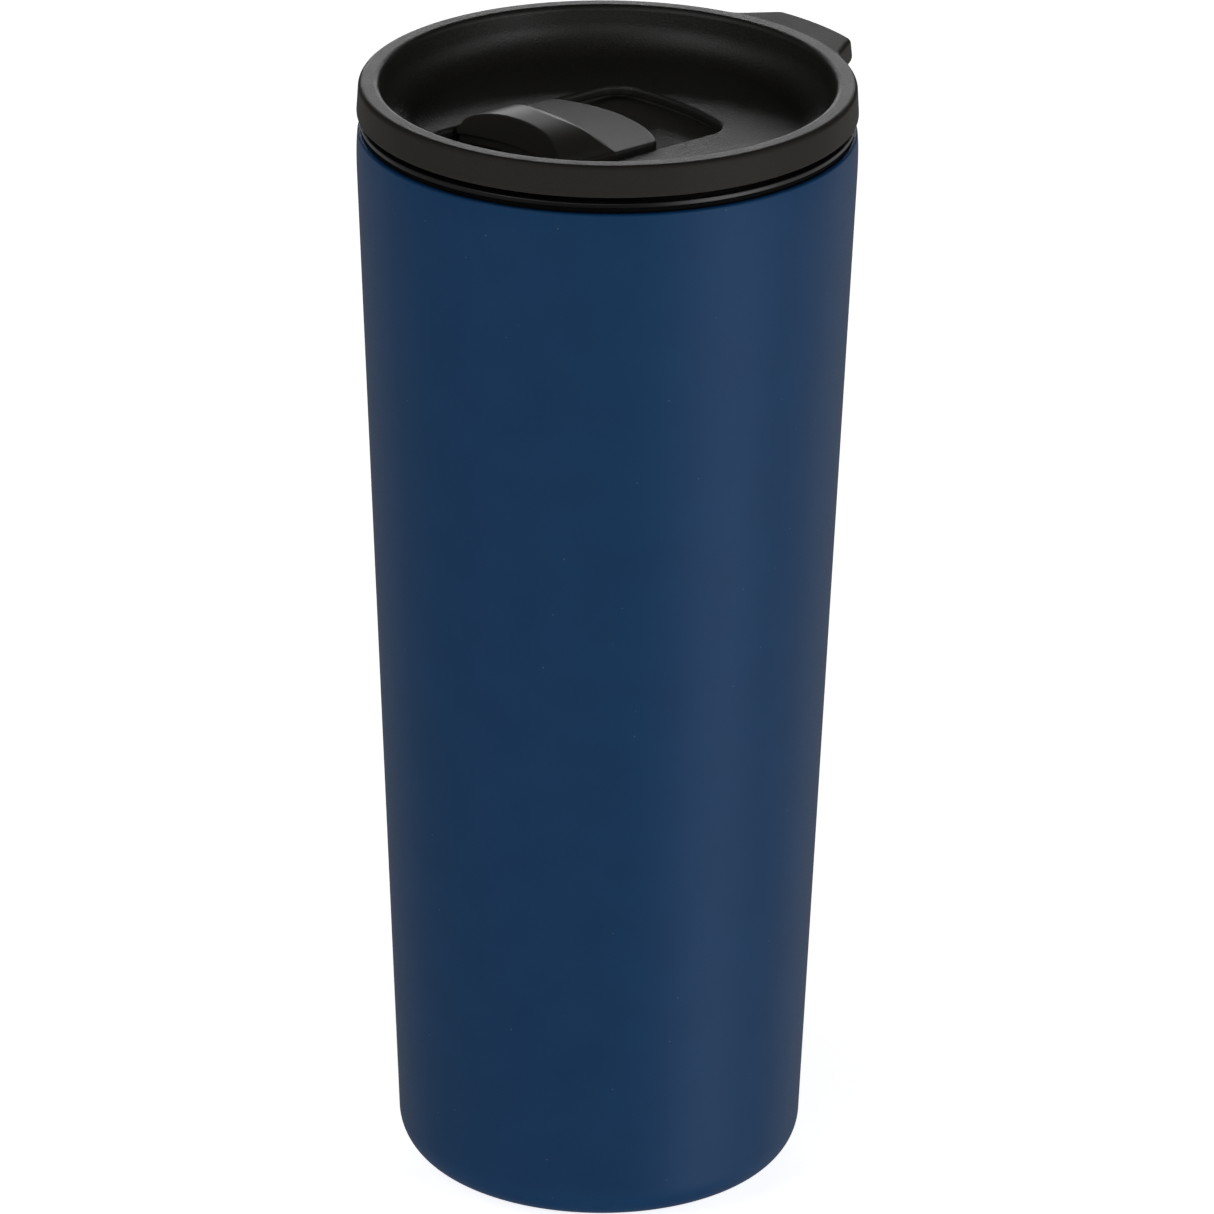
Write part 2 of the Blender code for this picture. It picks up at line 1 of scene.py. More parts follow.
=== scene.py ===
"""Looks of the insulated travel mug: smooth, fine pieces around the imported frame, their
materials, and a plain studio with the camera at the photograph's angle. Metres, +Z up."""

import math

import bmesh
import bpy
import numpy as np
from mathutils import Matrix, Vector


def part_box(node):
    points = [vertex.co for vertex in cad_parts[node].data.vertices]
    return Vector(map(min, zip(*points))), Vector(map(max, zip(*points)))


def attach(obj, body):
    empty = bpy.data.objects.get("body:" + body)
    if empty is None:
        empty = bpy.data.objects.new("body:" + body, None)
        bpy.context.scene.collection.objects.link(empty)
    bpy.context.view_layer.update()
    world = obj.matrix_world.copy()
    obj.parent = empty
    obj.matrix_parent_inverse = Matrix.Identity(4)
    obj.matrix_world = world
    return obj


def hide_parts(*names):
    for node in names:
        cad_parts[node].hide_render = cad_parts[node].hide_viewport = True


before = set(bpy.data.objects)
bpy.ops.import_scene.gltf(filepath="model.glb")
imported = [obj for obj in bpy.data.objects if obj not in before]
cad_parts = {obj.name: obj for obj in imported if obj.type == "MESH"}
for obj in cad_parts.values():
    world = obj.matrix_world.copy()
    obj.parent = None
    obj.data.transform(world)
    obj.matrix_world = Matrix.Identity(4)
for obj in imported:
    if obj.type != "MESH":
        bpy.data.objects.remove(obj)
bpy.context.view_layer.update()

MM = 0.001

# Places read from the frame
SHELL_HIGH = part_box("outer_shell")[1]
LINER_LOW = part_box("inner_liner")[0]
BASE_LOW, BASE_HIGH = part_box("outer_base")
PLUG_LOW, PLUG_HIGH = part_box("seal_plug")
PAD_LOW, PAD_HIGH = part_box("base_pad")
GETTER_LOW, GETTER_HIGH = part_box("getter")
SHIELD_LOW, SHIELD_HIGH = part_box("copper_shield")
COVER_LOW, COVER_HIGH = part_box("lid_cover")
TRAY_LOW, TRAY_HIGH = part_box("lid_tray")
COLLAR_LOW, COLLAR_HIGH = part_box("lid_collar")
GASKET_LOW, GASKET_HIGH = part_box("lid_gasket")
SLIDER_LOW, SLIDER_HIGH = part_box("slider")
SEAL_LOW, SEAL_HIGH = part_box("slider_seal")

BODY_HEIGHT = SHELL_HIGH.z
RIM_TOP = COVER_HIGH.z
BAND_R = COVER_HIGH.x           # lower edge of the lid's band
TAB_END_R = COVER_HIGH.y

# Steel cup
TAPER_TOP_R = 43.5 * MM         # straight side, carried up to the top of the lip
TAPER_FOOT_R = 35.79 * MM       # straight side, where the bottom corner starts
TAPER_FOOT_Z = 8.27 * MM
CORNER_R = 8.0 * MM             # rounded bottom corner
STRAIGHT_Z = 10.0 * MM
SHOULDER_Z = 182.0 * MM         # where the side starts to draw in towards the lip
DRAW_POWER = 4                  # how sharply it does
LIP_R = 43.1 * MM
LIP_EDGE = 0.5 * MM
LIP_SEAM_R = 41.75 * MM         # where the two walls meet on the lip
LIP_SEAM_DEPTH = 1.44 * MM      # how far down they touch
SHELL_LIP_DEPTH = 2.7 * MM      # below this the outer wall has its own thickness
LINER_LIP_DEPTH = 3.0 * MM      # below this the inner wall has
MOUTH_EDGE = 0.4 * MM
SHEET = 0.5 * MM                # steel thickness
WALL_TOTAL = 4.5 * MM           # outer face to inner face
SEAM = 0.03 * MM                # welded joint between the two walls
NECK_R = 40.8 * MM
NECK_FOOT_Z = 179.3 * MM
NECK_CONE_Z = 175.5 * MM
NECK_BEND = 1.2 * MM            # height of the bends at both ends of the cone
NECK_EASE = 0.18 * MM           # how far each bend stands off the corner it rounds
LINER_CORNER_R = 9.0 * MM
FOOT_INNER_R = 24.6 * MM
FOOT_EDGE = 0.1 * MM
BASE_SHEET = 0.8 * MM
DIMPLE_R = 6.0 * MM             # the base steps down round the pump-out hole
DIMPLE_ROUND = 0.4 * MM
DIMPLE_TOP_RUN = 1.4 * MM       # from the dimple's radius to the step's foot, above
DIMPLE_LOW_RUN = 0.9 * MM       # from the dimple's radius to both rounds, below
PUMP_HOLE_R = 1.2 * MM
PAD_EDGE = 0.2 * MM
PAD_GROOVES = 4                 # concentric grooves in the non-slip pad
PAD_GROOVE_R = 0.3 * MM
GETTER_EDGE = 0.35 * MM
STRAP_EDGE = 0.08 * MM
SHIELD_THICK = 0.15 * MM
SHIELD_GAP = 0.3 * MM           # from the liner to the copper wrap

# Lid cover
BAND_HIGH = 5.52 * MM           # from the rim's top down to the band's lower edge
BAND_DRAFT = 0.25 * MM          # how far the band leans in towards its top
BAND_EDGE = 0.3 * MM
RIM_OUT_ROUND = 0.95 * MM
RIM_IN_ROUND = 1.1 * MM
BOWL_R = 39.3 * MM              # bowl wall just under the rim
BOWL_SLOPE = 8.0                # degrees that the wall leans
COVE_R = 5.6 * MM
FLOOR_DEPTH = 7.75 * MM
FLOOR_THICK = 1.7 * MM
PLUG_R = 38.4 * MM
PLUG_WALL = 1.5 * MM
PLUG_EDGE = 0.4 * MM
TAB_HALF = 10.5 * MM
TAB_CORNER_R = 2.5 * MM
TAB_ROOT_R = 4.5 * MM
TAB_ROOT_X = 17.0 * MM
TAB_DEPTH = 5.05 * MM           # from the rim's top down to the tab's underside
TAB_UNDER_ROUND = 1.9 * MM
COLUMNS_ROUND = 300             # grid columns round the rim, apart from the tab
WINDOW_HALF = 14.85 * MM
WINDOW_BACK_Y = 16.45 * MM
WINDOW_BACK_R = 62.0 * MM       # the back edge bows towards the tab
WINDOW_FRONT_R = 31.5 * MM
WINDOW_CORNER_R = 4.7 * MM
WINDOW_ROUND = 0.8 * MM         # upper edge of the window
WINDOW_UNDER_ROUND = 0.25 * MM

# Tray under the window
TRAY_THICK = 1.8 * MM
TRAY_WALL = 1.6 * MM
TRAY_BACK_R = 65.3 * MM
TRAY_CORNER_R = 6.0 * MM
TRAY_EDGE = 0.4 * MM
TRAY_RIM_EDGE = 0.15 * MM
TRAY_FLOOR = TRAY_LOW.z + TRAY_THICK
DRINK_HALF = 8.5 * MM
DRINK_FRONT_Y = -16.2 * MM
DRINK_BACK_Y = -10.0 * MM
VENT_X = 11.6 * MM
VENT_R = 1.1 * MM
HOLE_ROUND = 0.4 * MM

# Collar and gasket
FLANGE_THICK = 0.9 * MM
FLANGE_EDGE = 0.22 * MM
SEAT_R = 42.3 * MM
SEAT_GAP = 0.3 * MM
LIP_GAP = 0.03 * MM             # the lid rests on the cup's lip
COLLAR_R = 39.9 * MM
COLLAR_LEAD = 0.6 * MM          # how far the collar narrows below the gasket
COLLAR_INNER_R = 37.0 * MM
GROOVE_R = 38.5 * MM
GROOVE_GAP = 0.3 * MM
SEAL_ROOT_R = 39.7 * MM
SEAL_TIP = 0.25 * MM            # radius of each soft lip's tip
SEAL_LIP = 1.2 * MM             # from the gasket's ends to the tips
SEAL_EDGE_IN = 0.2 * MM
SEAL_EDGE_DOWN = 0.15 * MM
SEAL_WAIST = 0.1 * MM           # depth of the crease between the lips
SEAL_WAIST_HALF = 0.2 * MM

# Slide closure
PLATE_HALF = 14.1 * MM
PLATE_PROUD = 0.88 * MM         # how far the plate stands above the bowl's floor
PLATE_FRONT_Y = -22.2 * MM      # straight front, before the face is cut
PLATE_BACK_R = 27.0 * MM
PLATE_CORNER_R = 2.4 * MM
PLATE_EDGE = 0.4 * MM
RAIL_FRONT_Y = -17.0 * MM
RAIL_BACK_Y = -2.0 * MM
RAIL_CORNER_R = 0.5 * MM
RAIL_EDGE = 0.2 * MM
FACE_AXIS_Y = -47.0 * MM        # upright axis of the slider's hollow front face
FACE_R = 28.5 * MM
UNDERCUT_R = 29.1 * MM          # the face is set back below this depth from the rim's top
UNDERCUT_DEPTH = 8.6 * MM
HUMP_HIGH = 4.5 * MM            # from the arch's foot to its crest
HUMP_HALF = 13.5 * MM
HUMP_POWER = 2.6                # of the arch, which is between an ellipse and a box
HUMP_BACK_AXIS_Y = -42.0 * MM   # upright axis of the hump's sloping back
HUMP_BACK_R = 35.0 * MM         # where the slope meets the plate, and the grain begins
HUMP_TOP_R = 30.4 * MM          # where the slope would reach the crest
HUMP_BACK_ROUND = 5.0 * MM
SLIDER_VOXEL = 0.16 * MM
PAD_GAP = 0.3 * MM              # round the silicone pad in its pocket
PAD_ROUND = 0.3 * MM

RING_STEPS = 288                # columns round the turned pieces
FINE_STEPS = 720                # and round the cutters, which are far larger than the slider
SMALL_STEPS = 96                # and round the small ones and the studio
ARC_STEPS = 8

# Camera
VIEW_AZIMUTH = 50.0
VIEW_ELEVATION = 22.66
VIEW_DISTANCE = 1.7435
VIEW_HEIGHT = 0.1044
VIEW_ROLL = 0.5025
LENS = 294.3
SENSOR = 36.0
SHIFT_X = 0.0030
SHIFT_Y = -0.00235

# Studio light
FLOOR_RADII = (0.0, 0.2, 0.5, 1.2, 3.0, 6.0)
FLOOR_LOW = 0.1 * MM
BACKDROP_R = 5.8
FLOOR_GLOW = 0.95
SWEEP_RIGHT = 0.48              # white sweep behind and beside the mug, seen from it
SWEEP_LEFT = 0.18
SWEEP_BACK = 0.28
SWEEP_PANEL = 2.2               # a white panel low on the right, nearer the camera
SWEEP_HIGH = 0.06               # the part of the sweep just above the horizon


# Outlines, as lists of (across, up)

def arc(centre, radius, start, end, count=ARC_STEPS):
    """Points on a circle, from one angle to another in degrees."""
    angles = np.radians(np.linspace(start, end, count + 1))
    return [(centre[0] + radius * math.cos(a), centre[1] + radius * math.sin(a)) for a in angles]


def line(start, end, count):
    """Points from start towards end, without end."""
    return [tuple(np.add(start, np.subtract(end, start) * i / count)) for i in range(count)]


def outward(outline):
    """Unit normals of a closed outline that runs anticlockwise."""
    points = np.array(outline)
    along = np.roll(points, -1, axis=0) - np.roll(points, 1, axis=0)
    normals = np.stack([along[:, 1], -along[:, 0]], axis=1)
    return normals / np.linalg.norm(normals, axis=1, keepdims=True)


def inset(outline, depth):
    """The outline moved inwards. depth is one number, or one for each point."""
    depth = np.broadcast_to(depth, (len(outline),))
    return np.array(outline) - outward(outline) * depth[:, None]


def circle(radius, count=RING_STEPS):
    angles = np.arange(count) * math.tau / count
    return radius * np.stack([np.cos(angles), np.sin(angles)], axis=1)


def at_height(outline, height):
    points = np.array(outline)
    heights = np.broadcast_to(height, (len(points),))
    return np.column_stack([points, heights])


def channel_outline(half, back, back_r, front, corner, count=24):
    """Straight sides, a bowed back and a front arc about the lid's axis, all with round
    corners. front is the front arc's radius."""
    middle_x = half - corner
    front_y = -math.sqrt((front - corner) ** 2 - middle_x ** 2)
    front_turn = math.degrees(math.atan2(front_y, middle_x))
    bow_y = back - back_r
    back_y = bow_y + math.sqrt((back_r - corner) ** 2 - middle_x ** 2)
    back_turn = math.degrees(math.atan2(back_y - bow_y, middle_x))
    outline = arc((0, 0), front, -180 - front_turn, front_turn, count)
    outline += arc((middle_x, front_y), corner, front_turn, 0, count // 2)[1:]
    outline += line((half, front_y), (half, back_y), count)[1:]
    outline += arc((middle_x, back_y), corner, 0, back_turn, count // 2)
    outline += arc((0, bow_y), back_r, back_turn, 180 - back_turn, count)[1:-1]
    outline += arc((-middle_x, back_y), corner, 180 - back_turn, 180, count // 2)
    outline += line((-half, back_y), (-half, front_y), count)[1:]
    outline += arc((-middle_x, front_y), corner, 180, 180 - front_turn, count // 2)
    return outline[:-1]


def slot_outline(half, low, high, count=16):
    """Round ends towards -X and +X."""
    radius = (high - low) / 2
    middle = (high + low) / 2
    outline = arc((half - radius, middle), radius, -90, 90, count)
    return outline + arc((radius - half, middle), radius, 90, 270, count)


def along_rays(outline, angles, fine=60):
    """Where rays from the origin at these angles meet an outline around it."""
    points = np.array(outline)
    ahead = np.roll(points, -1, axis=0)
    steps = np.linspace(0, 1, fine, endpoint=False)[None, :, None]
    dense = (points[:, None] + (ahead - points)[:, None] * steps).reshape(-1, 2)
    turns = np.arctan2(dense[:, 1], dense[:, 0])
    order = np.argsort(turns)
    radii = np.hypot(dense[order, 0], dense[order, 1])
    found = np.interp(angles, turns[order], radii, period=math.tau)
    return np.stack([found * np.cos(angles), found * np.sin(angles)], axis=1)


# Meshes

def add_object(name, mesh):
    obj = bpy.data.objects.new(name, mesh)
    bpy.context.scene.collection.objects.link(obj)
    return obj


def lofted(name, rings, closed):
    """A grid through rings with as many points each. closed joins the last to the first."""
    grid = np.array(rings)
    count, columns = grid.shape[:2]
    index = np.arange(count * columns).reshape(count, columns)
    lower = index if closed else index[:-1]
    upper = np.roll(index, -1, axis=0) if closed else index[1:]
    faces = np.stack([lower, np.roll(lower, -1, axis=1), np.roll(upper, -1, axis=1), upper], axis=2)
    mesh = bpy.data.meshes.new(name)
    mesh.from_pydata(grid.reshape(-1, 3).tolist(), [], faces.reshape(-1, 4).tolist())
    tidy_mesh(mesh)
    return add_object(name, mesh)


def tidy_mesh(mesh):
    """Weld points that fall together, and turn every face outwards."""
    work = bmesh.new()
    work.from_mesh(mesh)
    bmesh.ops.remove_doubles(work, verts=work.verts, dist=0.002 * MM)
    bmesh.ops.dissolve_degenerate(work, edges=work.edges, dist=0.0005 * MM)
    bmesh.ops.recalc_face_normals(work, faces=work.faces)
    work.to_mesh(mesh)
    work.free()
    mesh.shade_smooth()


def turned(name, profile, steps=RING_STEPS):
    """Turn a profile of (radius, height) round Z. One that starts and ends on the axis
    is closed by it, and any other is a ring."""
    on_axis = profile[0][0] == 0 and profile[-1][0] == 0
    rings = [at_height(circle(r, steps), z) for r, z in profile]
    return lofted(name, rings, closed=not on_axis)


def prism(name, outline, low, high, edge=0.0, steps=4):
    """An upright solid from an outline, with its upper and lower edges rounded."""
    centre = np.zeros((len(outline), 2)) + np.mean(outline, axis=0)
    rings = [at_height(centre, low)]
    for x, z in arc((0, 0), edge, -90, 0, steps):
        rings.append(at_height(inset(outline, edge - x), low + edge + z))
    for x, z in arc((0, 0), edge, 0, 90, steps):
        rings.append(at_height(inset(outline, edge - x), high - edge + z))
    rings.append(at_height(centre, high))
    return lofted(name, rings, closed=False)


def weighted(obj):
    """Broad faces lead the shading, so that small rounded edges stay crisp."""
    modifier = obj.modifiers.new("Shading", 'WEIGHTED_NORMAL')
    modifier.mode = 'FACE_AREA'
    modifier.keep_sharp = True


def boolean(obj, other, operation):
    modifier = obj.modifiers.new(operation.title(), 'BOOLEAN')
    modifier.operation = operation
    modifier.solver = 'EXACT'
    modifier.object = other


def bake_modifiers(obj, *helpers):
    """Keep the shape that the modifiers give, and remove the helper objects."""
    graph = bpy.context.evaluated_depsgraph_get()
    mesh = bpy.data.meshes.new_from_object(obj.evaluated_get(graph))
    mesh.name = obj.name
    obj.modifiers.clear()
    obj.data = mesh
    for helper in helpers:
        bpy.data.objects.remove(helper, do_unlink=True)


def finish_piece(obj, mat, body, node):
    """Material and body of a piece that stands for a CAD node, whose CAD part it hides."""
    obj.data.materials.clear()
    obj.data.materials.append(mat)
    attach(obj, body)
    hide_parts(node)


# Material nodes

def new_material(name):
    mat = bpy.data.materials.new(name)
    mat.use_nodes = True
    return mat, mat.node_tree, mat.node_tree.nodes["Principled BSDF"]


def place(tree):
    """The point's place on its piece."""
    return tree.nodes.new("ShaderNodeTexCoord").outputs["Object"]


def stretched(tree, scale):
    """The point's place, with each axis scaled."""
    node = tree.nodes.new("ShaderNodeMapping")
    node.inputs["Scale"].default_value = scale
    tree.links.new(place(tree), node.inputs["Vector"])
    return node.outputs["Vector"]


def noise(tree, size, detail=2.0, vector=None):
    """Noise from 0 to 1, whose lumps are about this size."""
    node = tree.nodes.new("ShaderNodeTexNoise")
    node.inputs["Scale"].default_value = 1 / size
    node.inputs["Detail"].default_value = detail
    tree.links.new(vector or place(tree), node.inputs["Vector"])
    return node.outputs["Fac"]


def cells(tree, size):
    """Distance to the nearest of points scattered about this far apart."""
    node = tree.nodes.new("ShaderNodeTexVoronoi")
    node.inputs["Scale"].default_value = 1 / size
    tree.links.new(place(tree), node.inputs["Vector"])
    return node.outputs["Distance"]


def maths(tree, operation, first, second=0.0):
    node = tree.nodes.new("ShaderNodeMath")
    node.operation = operation
    for socket, value in zip(node.inputs, (first, second)):
        if isinstance(value, (int, float)):
            socket.default_value = value
        else:
            tree.links.new(value, socket)
    return node.outputs["Value"]


def times(tree, first, second):
    return maths(tree, 'MULTIPLY', first, second)


def plus(tree, first, second):
    return maths(tree, 'ADD', first, second)


def axes(tree):
    """The point's X, Y and Z on its piece."""
    spot = tree.nodes.new("ShaderNodeSeparateXYZ")
    tree.links.new(place(tree), spot.inputs["Vector"])
    return [spot.outputs[axis] for axis in "XYZ"]


def axis_distance(tree, axis_y=0.0):
    """The point's distance from an upright axis."""
    across, along, _ = axes(tree)
    behind = maths(tree, 'SUBTRACT', along, axis_y)
    return maths(tree, 'SQRT', plus(tree, times(tree, behind, behind), times(tree, across, across)))


def spread(tree, value, low, high, new_low, new_high):
    """Map a value from one range to another, clamped."""
    node = tree.nodes.new("ShaderNodeMapRange")
    tree.links.new(value, node.inputs["Value"])
    for key, number in (("From Min", low), ("From Max", high),
                        ("To Min", new_low), ("To Max", new_high)):
        node.inputs[key].default_value = number
    return node.outputs["Result"]


def mixed(tree, share, first, second):
    """Between two colours, by a share from 0 to 1."""
    node = tree.nodes.new("ShaderNodeMix")
    node.data_type = 'RGBA'
    tree.links.new(share, node.inputs["Factor"])
    for socket, value in ((node.inputs[6], first), (node.inputs[7], second)):
        if isinstance(value, tuple):
            socket.default_value = (*value, 1.0)
        else:
            tree.links.new(value, socket)
    return node.outputs[2]


def relief(tree, shader, height, depth):
    """Bump from a height of 0 to 1, where 1 is this deep."""
    node = tree.nodes.new("ShaderNodeBump")
    node.inputs["Distance"].default_value = depth
    tree.links.new(height, node.inputs["Height"])
    tree.links.new(node.outputs["Normal"], shader.inputs["Normal"])


# Materials

def powder_coat():
    """Satin blue coat: orange-peel waves, fine grain, and a few pale specks."""
    mat, tree, shader = new_material("blue_powder_coat")
    grain = noise(tree, 0.30 * MM, 3.0)
    cloud = noise(tree, 9 * MM)
    blue = mixed(tree, spread(tree, cloud, 0.3, 0.7, 0, 1),
                 (0.0021, 0.0352, 0.105), (0.0028, 0.0388, 0.114))
    blue = mixed(tree, spread(tree, grain, 0.35, 0.7, 0, 0.22), blue, (0.0066, 0.052, 0.144))
    speck = spread(tree, cells(tree, 4.5 * MM), 0.012, 0.034, 0.5, 0)
    tree.links.new(mixed(tree, speck, blue, (0.22, 0.26, 0.32)), shader.inputs["Base Color"])
    tree.links.new(spread(tree, grain, 0.3, 0.7, 0.40, 0.50), shader.inputs["Roughness"])
    shader.inputs["IOR"].default_value = 1.27
    peel = times(tree, noise(tree, 1.6 * MM, 1.0), 0.5)
    relief(tree, shader, plus(tree, peel, times(tree, grain, 0.35)), 0.010 * MM)
    return mat


def moulded_plastic(name, colour, satin_from):
    """Black plastic from a spark-eroded mould: grained, and satin beyond a radius."""
    mat, tree, shader = new_material(name)
    satin = spread(tree, axis_distance(tree), satin_from - 0.3 * MM, satin_from + 0.3 * MM, 0, 1)
    grain = noise(tree, 0.32 * MM, 2.0)
    cloud = noise(tree, 6 * MM)
    mottle = spread(tree, grain, 0.3, 0.75, 0, 1)
    grained = mixed(tree, mottle, colour, tuple(1.9 * c for c in colour))
    even = mixed(tree, mottle, tuple(2.1 * c for c in colour), tuple(2.5 * c for c in colour))
    tree.links.new(mixed(tree, satin, grained, even), shader.inputs["Base Color"])
    shine = plus(tree, spread(tree, grain, 0.3, 0.7, -0.06, 0.06),
                 spread(tree, cloud, 0.3, 0.7, 0.44, 0.47))
    tree.links.new(shine, shader.inputs["Roughness"])
    tree.links.new(spread(tree, satin, 0, 1, 1.5, 1.16), shader.inputs["IOR"])
    relief(tree, shader, times(tree, grain, spread(tree, satin, 0, 1, 1, 0.15)), 0.065 * MM)
    return mat


def collar_plastic():
    """Black plastic of the collar: satin on the flange, matt below it, where its near-black colour is
    painted shade in the gap over the cup's lip.
    """
    mat, tree, shader = new_material("collar_plastic")
    flange_low = COLLAR_HIGH.z - FLANGE_THICK
    flange = spread(tree, axes(tree)[2], flange_low - 0.05 * MM, flange_low + 0.05 * MM, 0, 1)
    grain = noise(tree, 0.25 * MM, 2.0)
    mottle = spread(tree, grain, 0.3, 0.7, 0, 1)
    satin = mixed(tree, mottle, (0.0048, 0.0050, 0.0054), (0.0068, 0.0070, 0.0075))
    # below the flange: near-black, painted shade in the gap under the flange
    painted_shade_below = mixed(tree, mottle, (0.0008, 0.0008, 0.0008), (0.0018, 0.0018, 0.0018))
    tree.links.new(mixed(tree, flange, painted_shade_below, satin), shader.inputs["Base Color"])
    tree.links.new(spread(tree, flange, 0, 1, 0.75, 0.34), shader.inputs["Roughness"])
    tree.links.new(spread(tree, flange, 0, 1, 0.1, 0.5), shader.inputs["Specular IOR Level"])
    relief(tree, shader, grain, 0.006 * MM)
    return mat


def slider_plastic():
    """The slider's finish: polished on the hump and its scoop, grained on the plate. The hump's lighter
    colour is partly painted light on its shaded hollow front face.
    """
    mat, tree, shader = new_material("slider_plastic")
    plate = spread(tree, axis_distance(tree, HUMP_BACK_AXIS_Y),
                   HUMP_BACK_R - 0.05 * MM, HUMP_BACK_R + 0.05 * MM, 0, 1)
    grain = noise(tree, 0.30 * MM, 2.0)
    # hump colour about twice the plate's: partly painted light on its shaded hollow face
    base = mixed(tree, plate, (0.0370, 0.0352, 0.0318), (0.016, 0.0152, 0.0138))
    base = mixed(tree, spread(tree, grain, 0.35, 0.7, 0, 0.6), base, (0.030, 0.0286, 0.026))
    tree.links.new(base, shader.inputs["Base Color"])
    tree.links.new(spread(tree, plate, 0, 1, 0.29, 0.46), shader.inputs["Roughness"])
    tree.links.new(spread(tree, plate, 0, 1, 1.13, 1.46), shader.inputs["IOR"])
    relief(tree, shader, times(tree, grain, spread(tree, plate, 0, 1, 0.08, 1)), 0.08 * MM)
    return mat


def brushed_steel():
    """Bare steel, brushed round the mug's axis."""
    mat, tree, shader = new_material("brushed_steel")
    lines = noise(tree, 1 * MM, 3.0, stretched(tree, (0.15, 0.15, 9.0)))
    smears = noise(tree, 18 * MM, 2.0)
    tone = mixed(tree, spread(tree, lines, 0.3, 0.7, 0, 1), (0.50, 0.49, 0.475), (0.62, 0.61, 0.59))
    tree.links.new(tone, shader.inputs["Base Color"])
    shader.inputs["Metallic"].default_value = 1.0
    shine = plus(tree, spread(tree, lines, 0.3, 0.7, 0.24, 0.36),
                 spread(tree, smears, 0.3, 0.7, -0.03, 0.05))
    tree.links.new(shine, shader.inputs["Roughness"])
    relief(tree, shader, lines, 0.006 * MM)
    return mat


def silicone(name, colour, dust):
    """Matt rubber with a fine bloom."""
    mat, tree, shader = new_material(name)
    grain = noise(tree, 0.15 * MM, 2.0)
    bloom = noise(tree, 3 * MM, 3.0)
    tree.links.new(mixed(tree, spread(tree, bloom, 0.35, 0.75, 0, 0.6), colour, dust),
                   shader.inputs["Base Color"])
    tree.links.new(spread(tree, grain, 0.3, 0.7, 0.52, 0.66), shader.inputs["Roughness"])
    shader.inputs["IOR"].default_value = 1.41
    shader.inputs["Sheen Weight"].default_value = 0.1
    relief(tree, shader, grain, 0.012 * MM)
    return mat


def copper_foil():
    """Thin copper wrap with shallow crinkles."""
    mat, tree, shader = new_material("copper_foil")
    crinkle = cells(tree, 7 * MM)
    tarnish = noise(tree, 12 * MM, 4.0)
    tone = mixed(tree, spread(tree, tarnish, 0.4, 0.75, 0, 1), (0.78, 0.36, 0.22), (0.52, 0.20, 0.11))
    tree.links.new(tone, shader.inputs["Base Color"])
    shader.inputs["Metallic"].default_value = 1.0
    tree.links.new(spread(tree, tarnish, 0.3, 0.7, 0.18, 0.34), shader.inputs["Roughness"])
    relief(tree, shader, crinkle, 0.2 * MM)
    return mat


def pressed_powder():
    """The getter: grey metal powder pressed into a pellet."""
    mat, tree, shader = new_material("getter_grey")
    grains = cells(tree, 0.35 * MM)
    tone = mixed(tree, spread(tree, grains, 0.1, 0.6, 0, 1), (0.22, 0.22, 0.23), (0.10, 0.10, 0.11))
    tree.links.new(tone, shader.inputs["Base Color"])
    shader.inputs["Metallic"].default_value = 0.5
    tree.links.new(spread(tree, grains, 0.1, 0.6, 0.6, 0.8), shader.inputs["Roughness"])
    relief(tree, shader, grains, 0.06 * MM)
    return mat


def solder_glass():
    """Dull glassy bead that seals the pump-out hole."""
    mat, tree, shader = new_material("solder_glass")
    flow = noise(tree, 1.5 * MM, 3.0)
    tone = mixed(tree, spread(tree, flow, 0.35, 0.7, 0, 1), (0.27, 0.25, 0.22), (0.36, 0.34, 0.30))
    tree.links.new(tone, shader.inputs["Base Color"])
    tree.links.new(spread(tree, flow, 0.3, 0.7, 0.12, 0.26), shader.inputs["Roughness"])
    relief(tree, shader, flow, 0.05 * MM)
    return mat


def studio_floor():
    """White paper, lit from behind like a light table."""
    mat, tree, shader = new_material("studio_floor")
    fibre = noise(tree, 4 * MM, 4.0)
    paper = mixed(tree, fibre, (0.86, 0.86, 0.86), (0.89, 0.89, 0.89))
    tree.links.new(paper, shader.inputs["Base Color"])
    tree.links.new(paper, shader.inputs["Emission Color"])
    shader.inputs["Emission Strength"].default_value = FLOOR_GLOW
    shader.inputs["Roughness"].default_value = 0.9
    shader.inputs["Specular IOR Level"].default_value = 0.1
    return mat


# Steel cup

def side_radius(height):
    """Outside radius of the cup's straight side."""
    share = (height - TAPER_FOOT_Z) / (BODY_HEIGHT - TAPER_FOOT_Z)
    return TAPER_FOOT_R + share * (TAPER_TOP_R - TAPER_FOOT_R)


def drawn_side(height):
    """The side with its upper end, which curves in towards the lip."""
    lip_z = BODY_HEIGHT - LIP_EDGE
    share = max(0.0, (height - SHOULDER_Z) / (lip_z - SHOULDER_Z))
    return side_radius(height) - share ** DRAW_POWER * (side_radius(lip_z) - LIP_R)


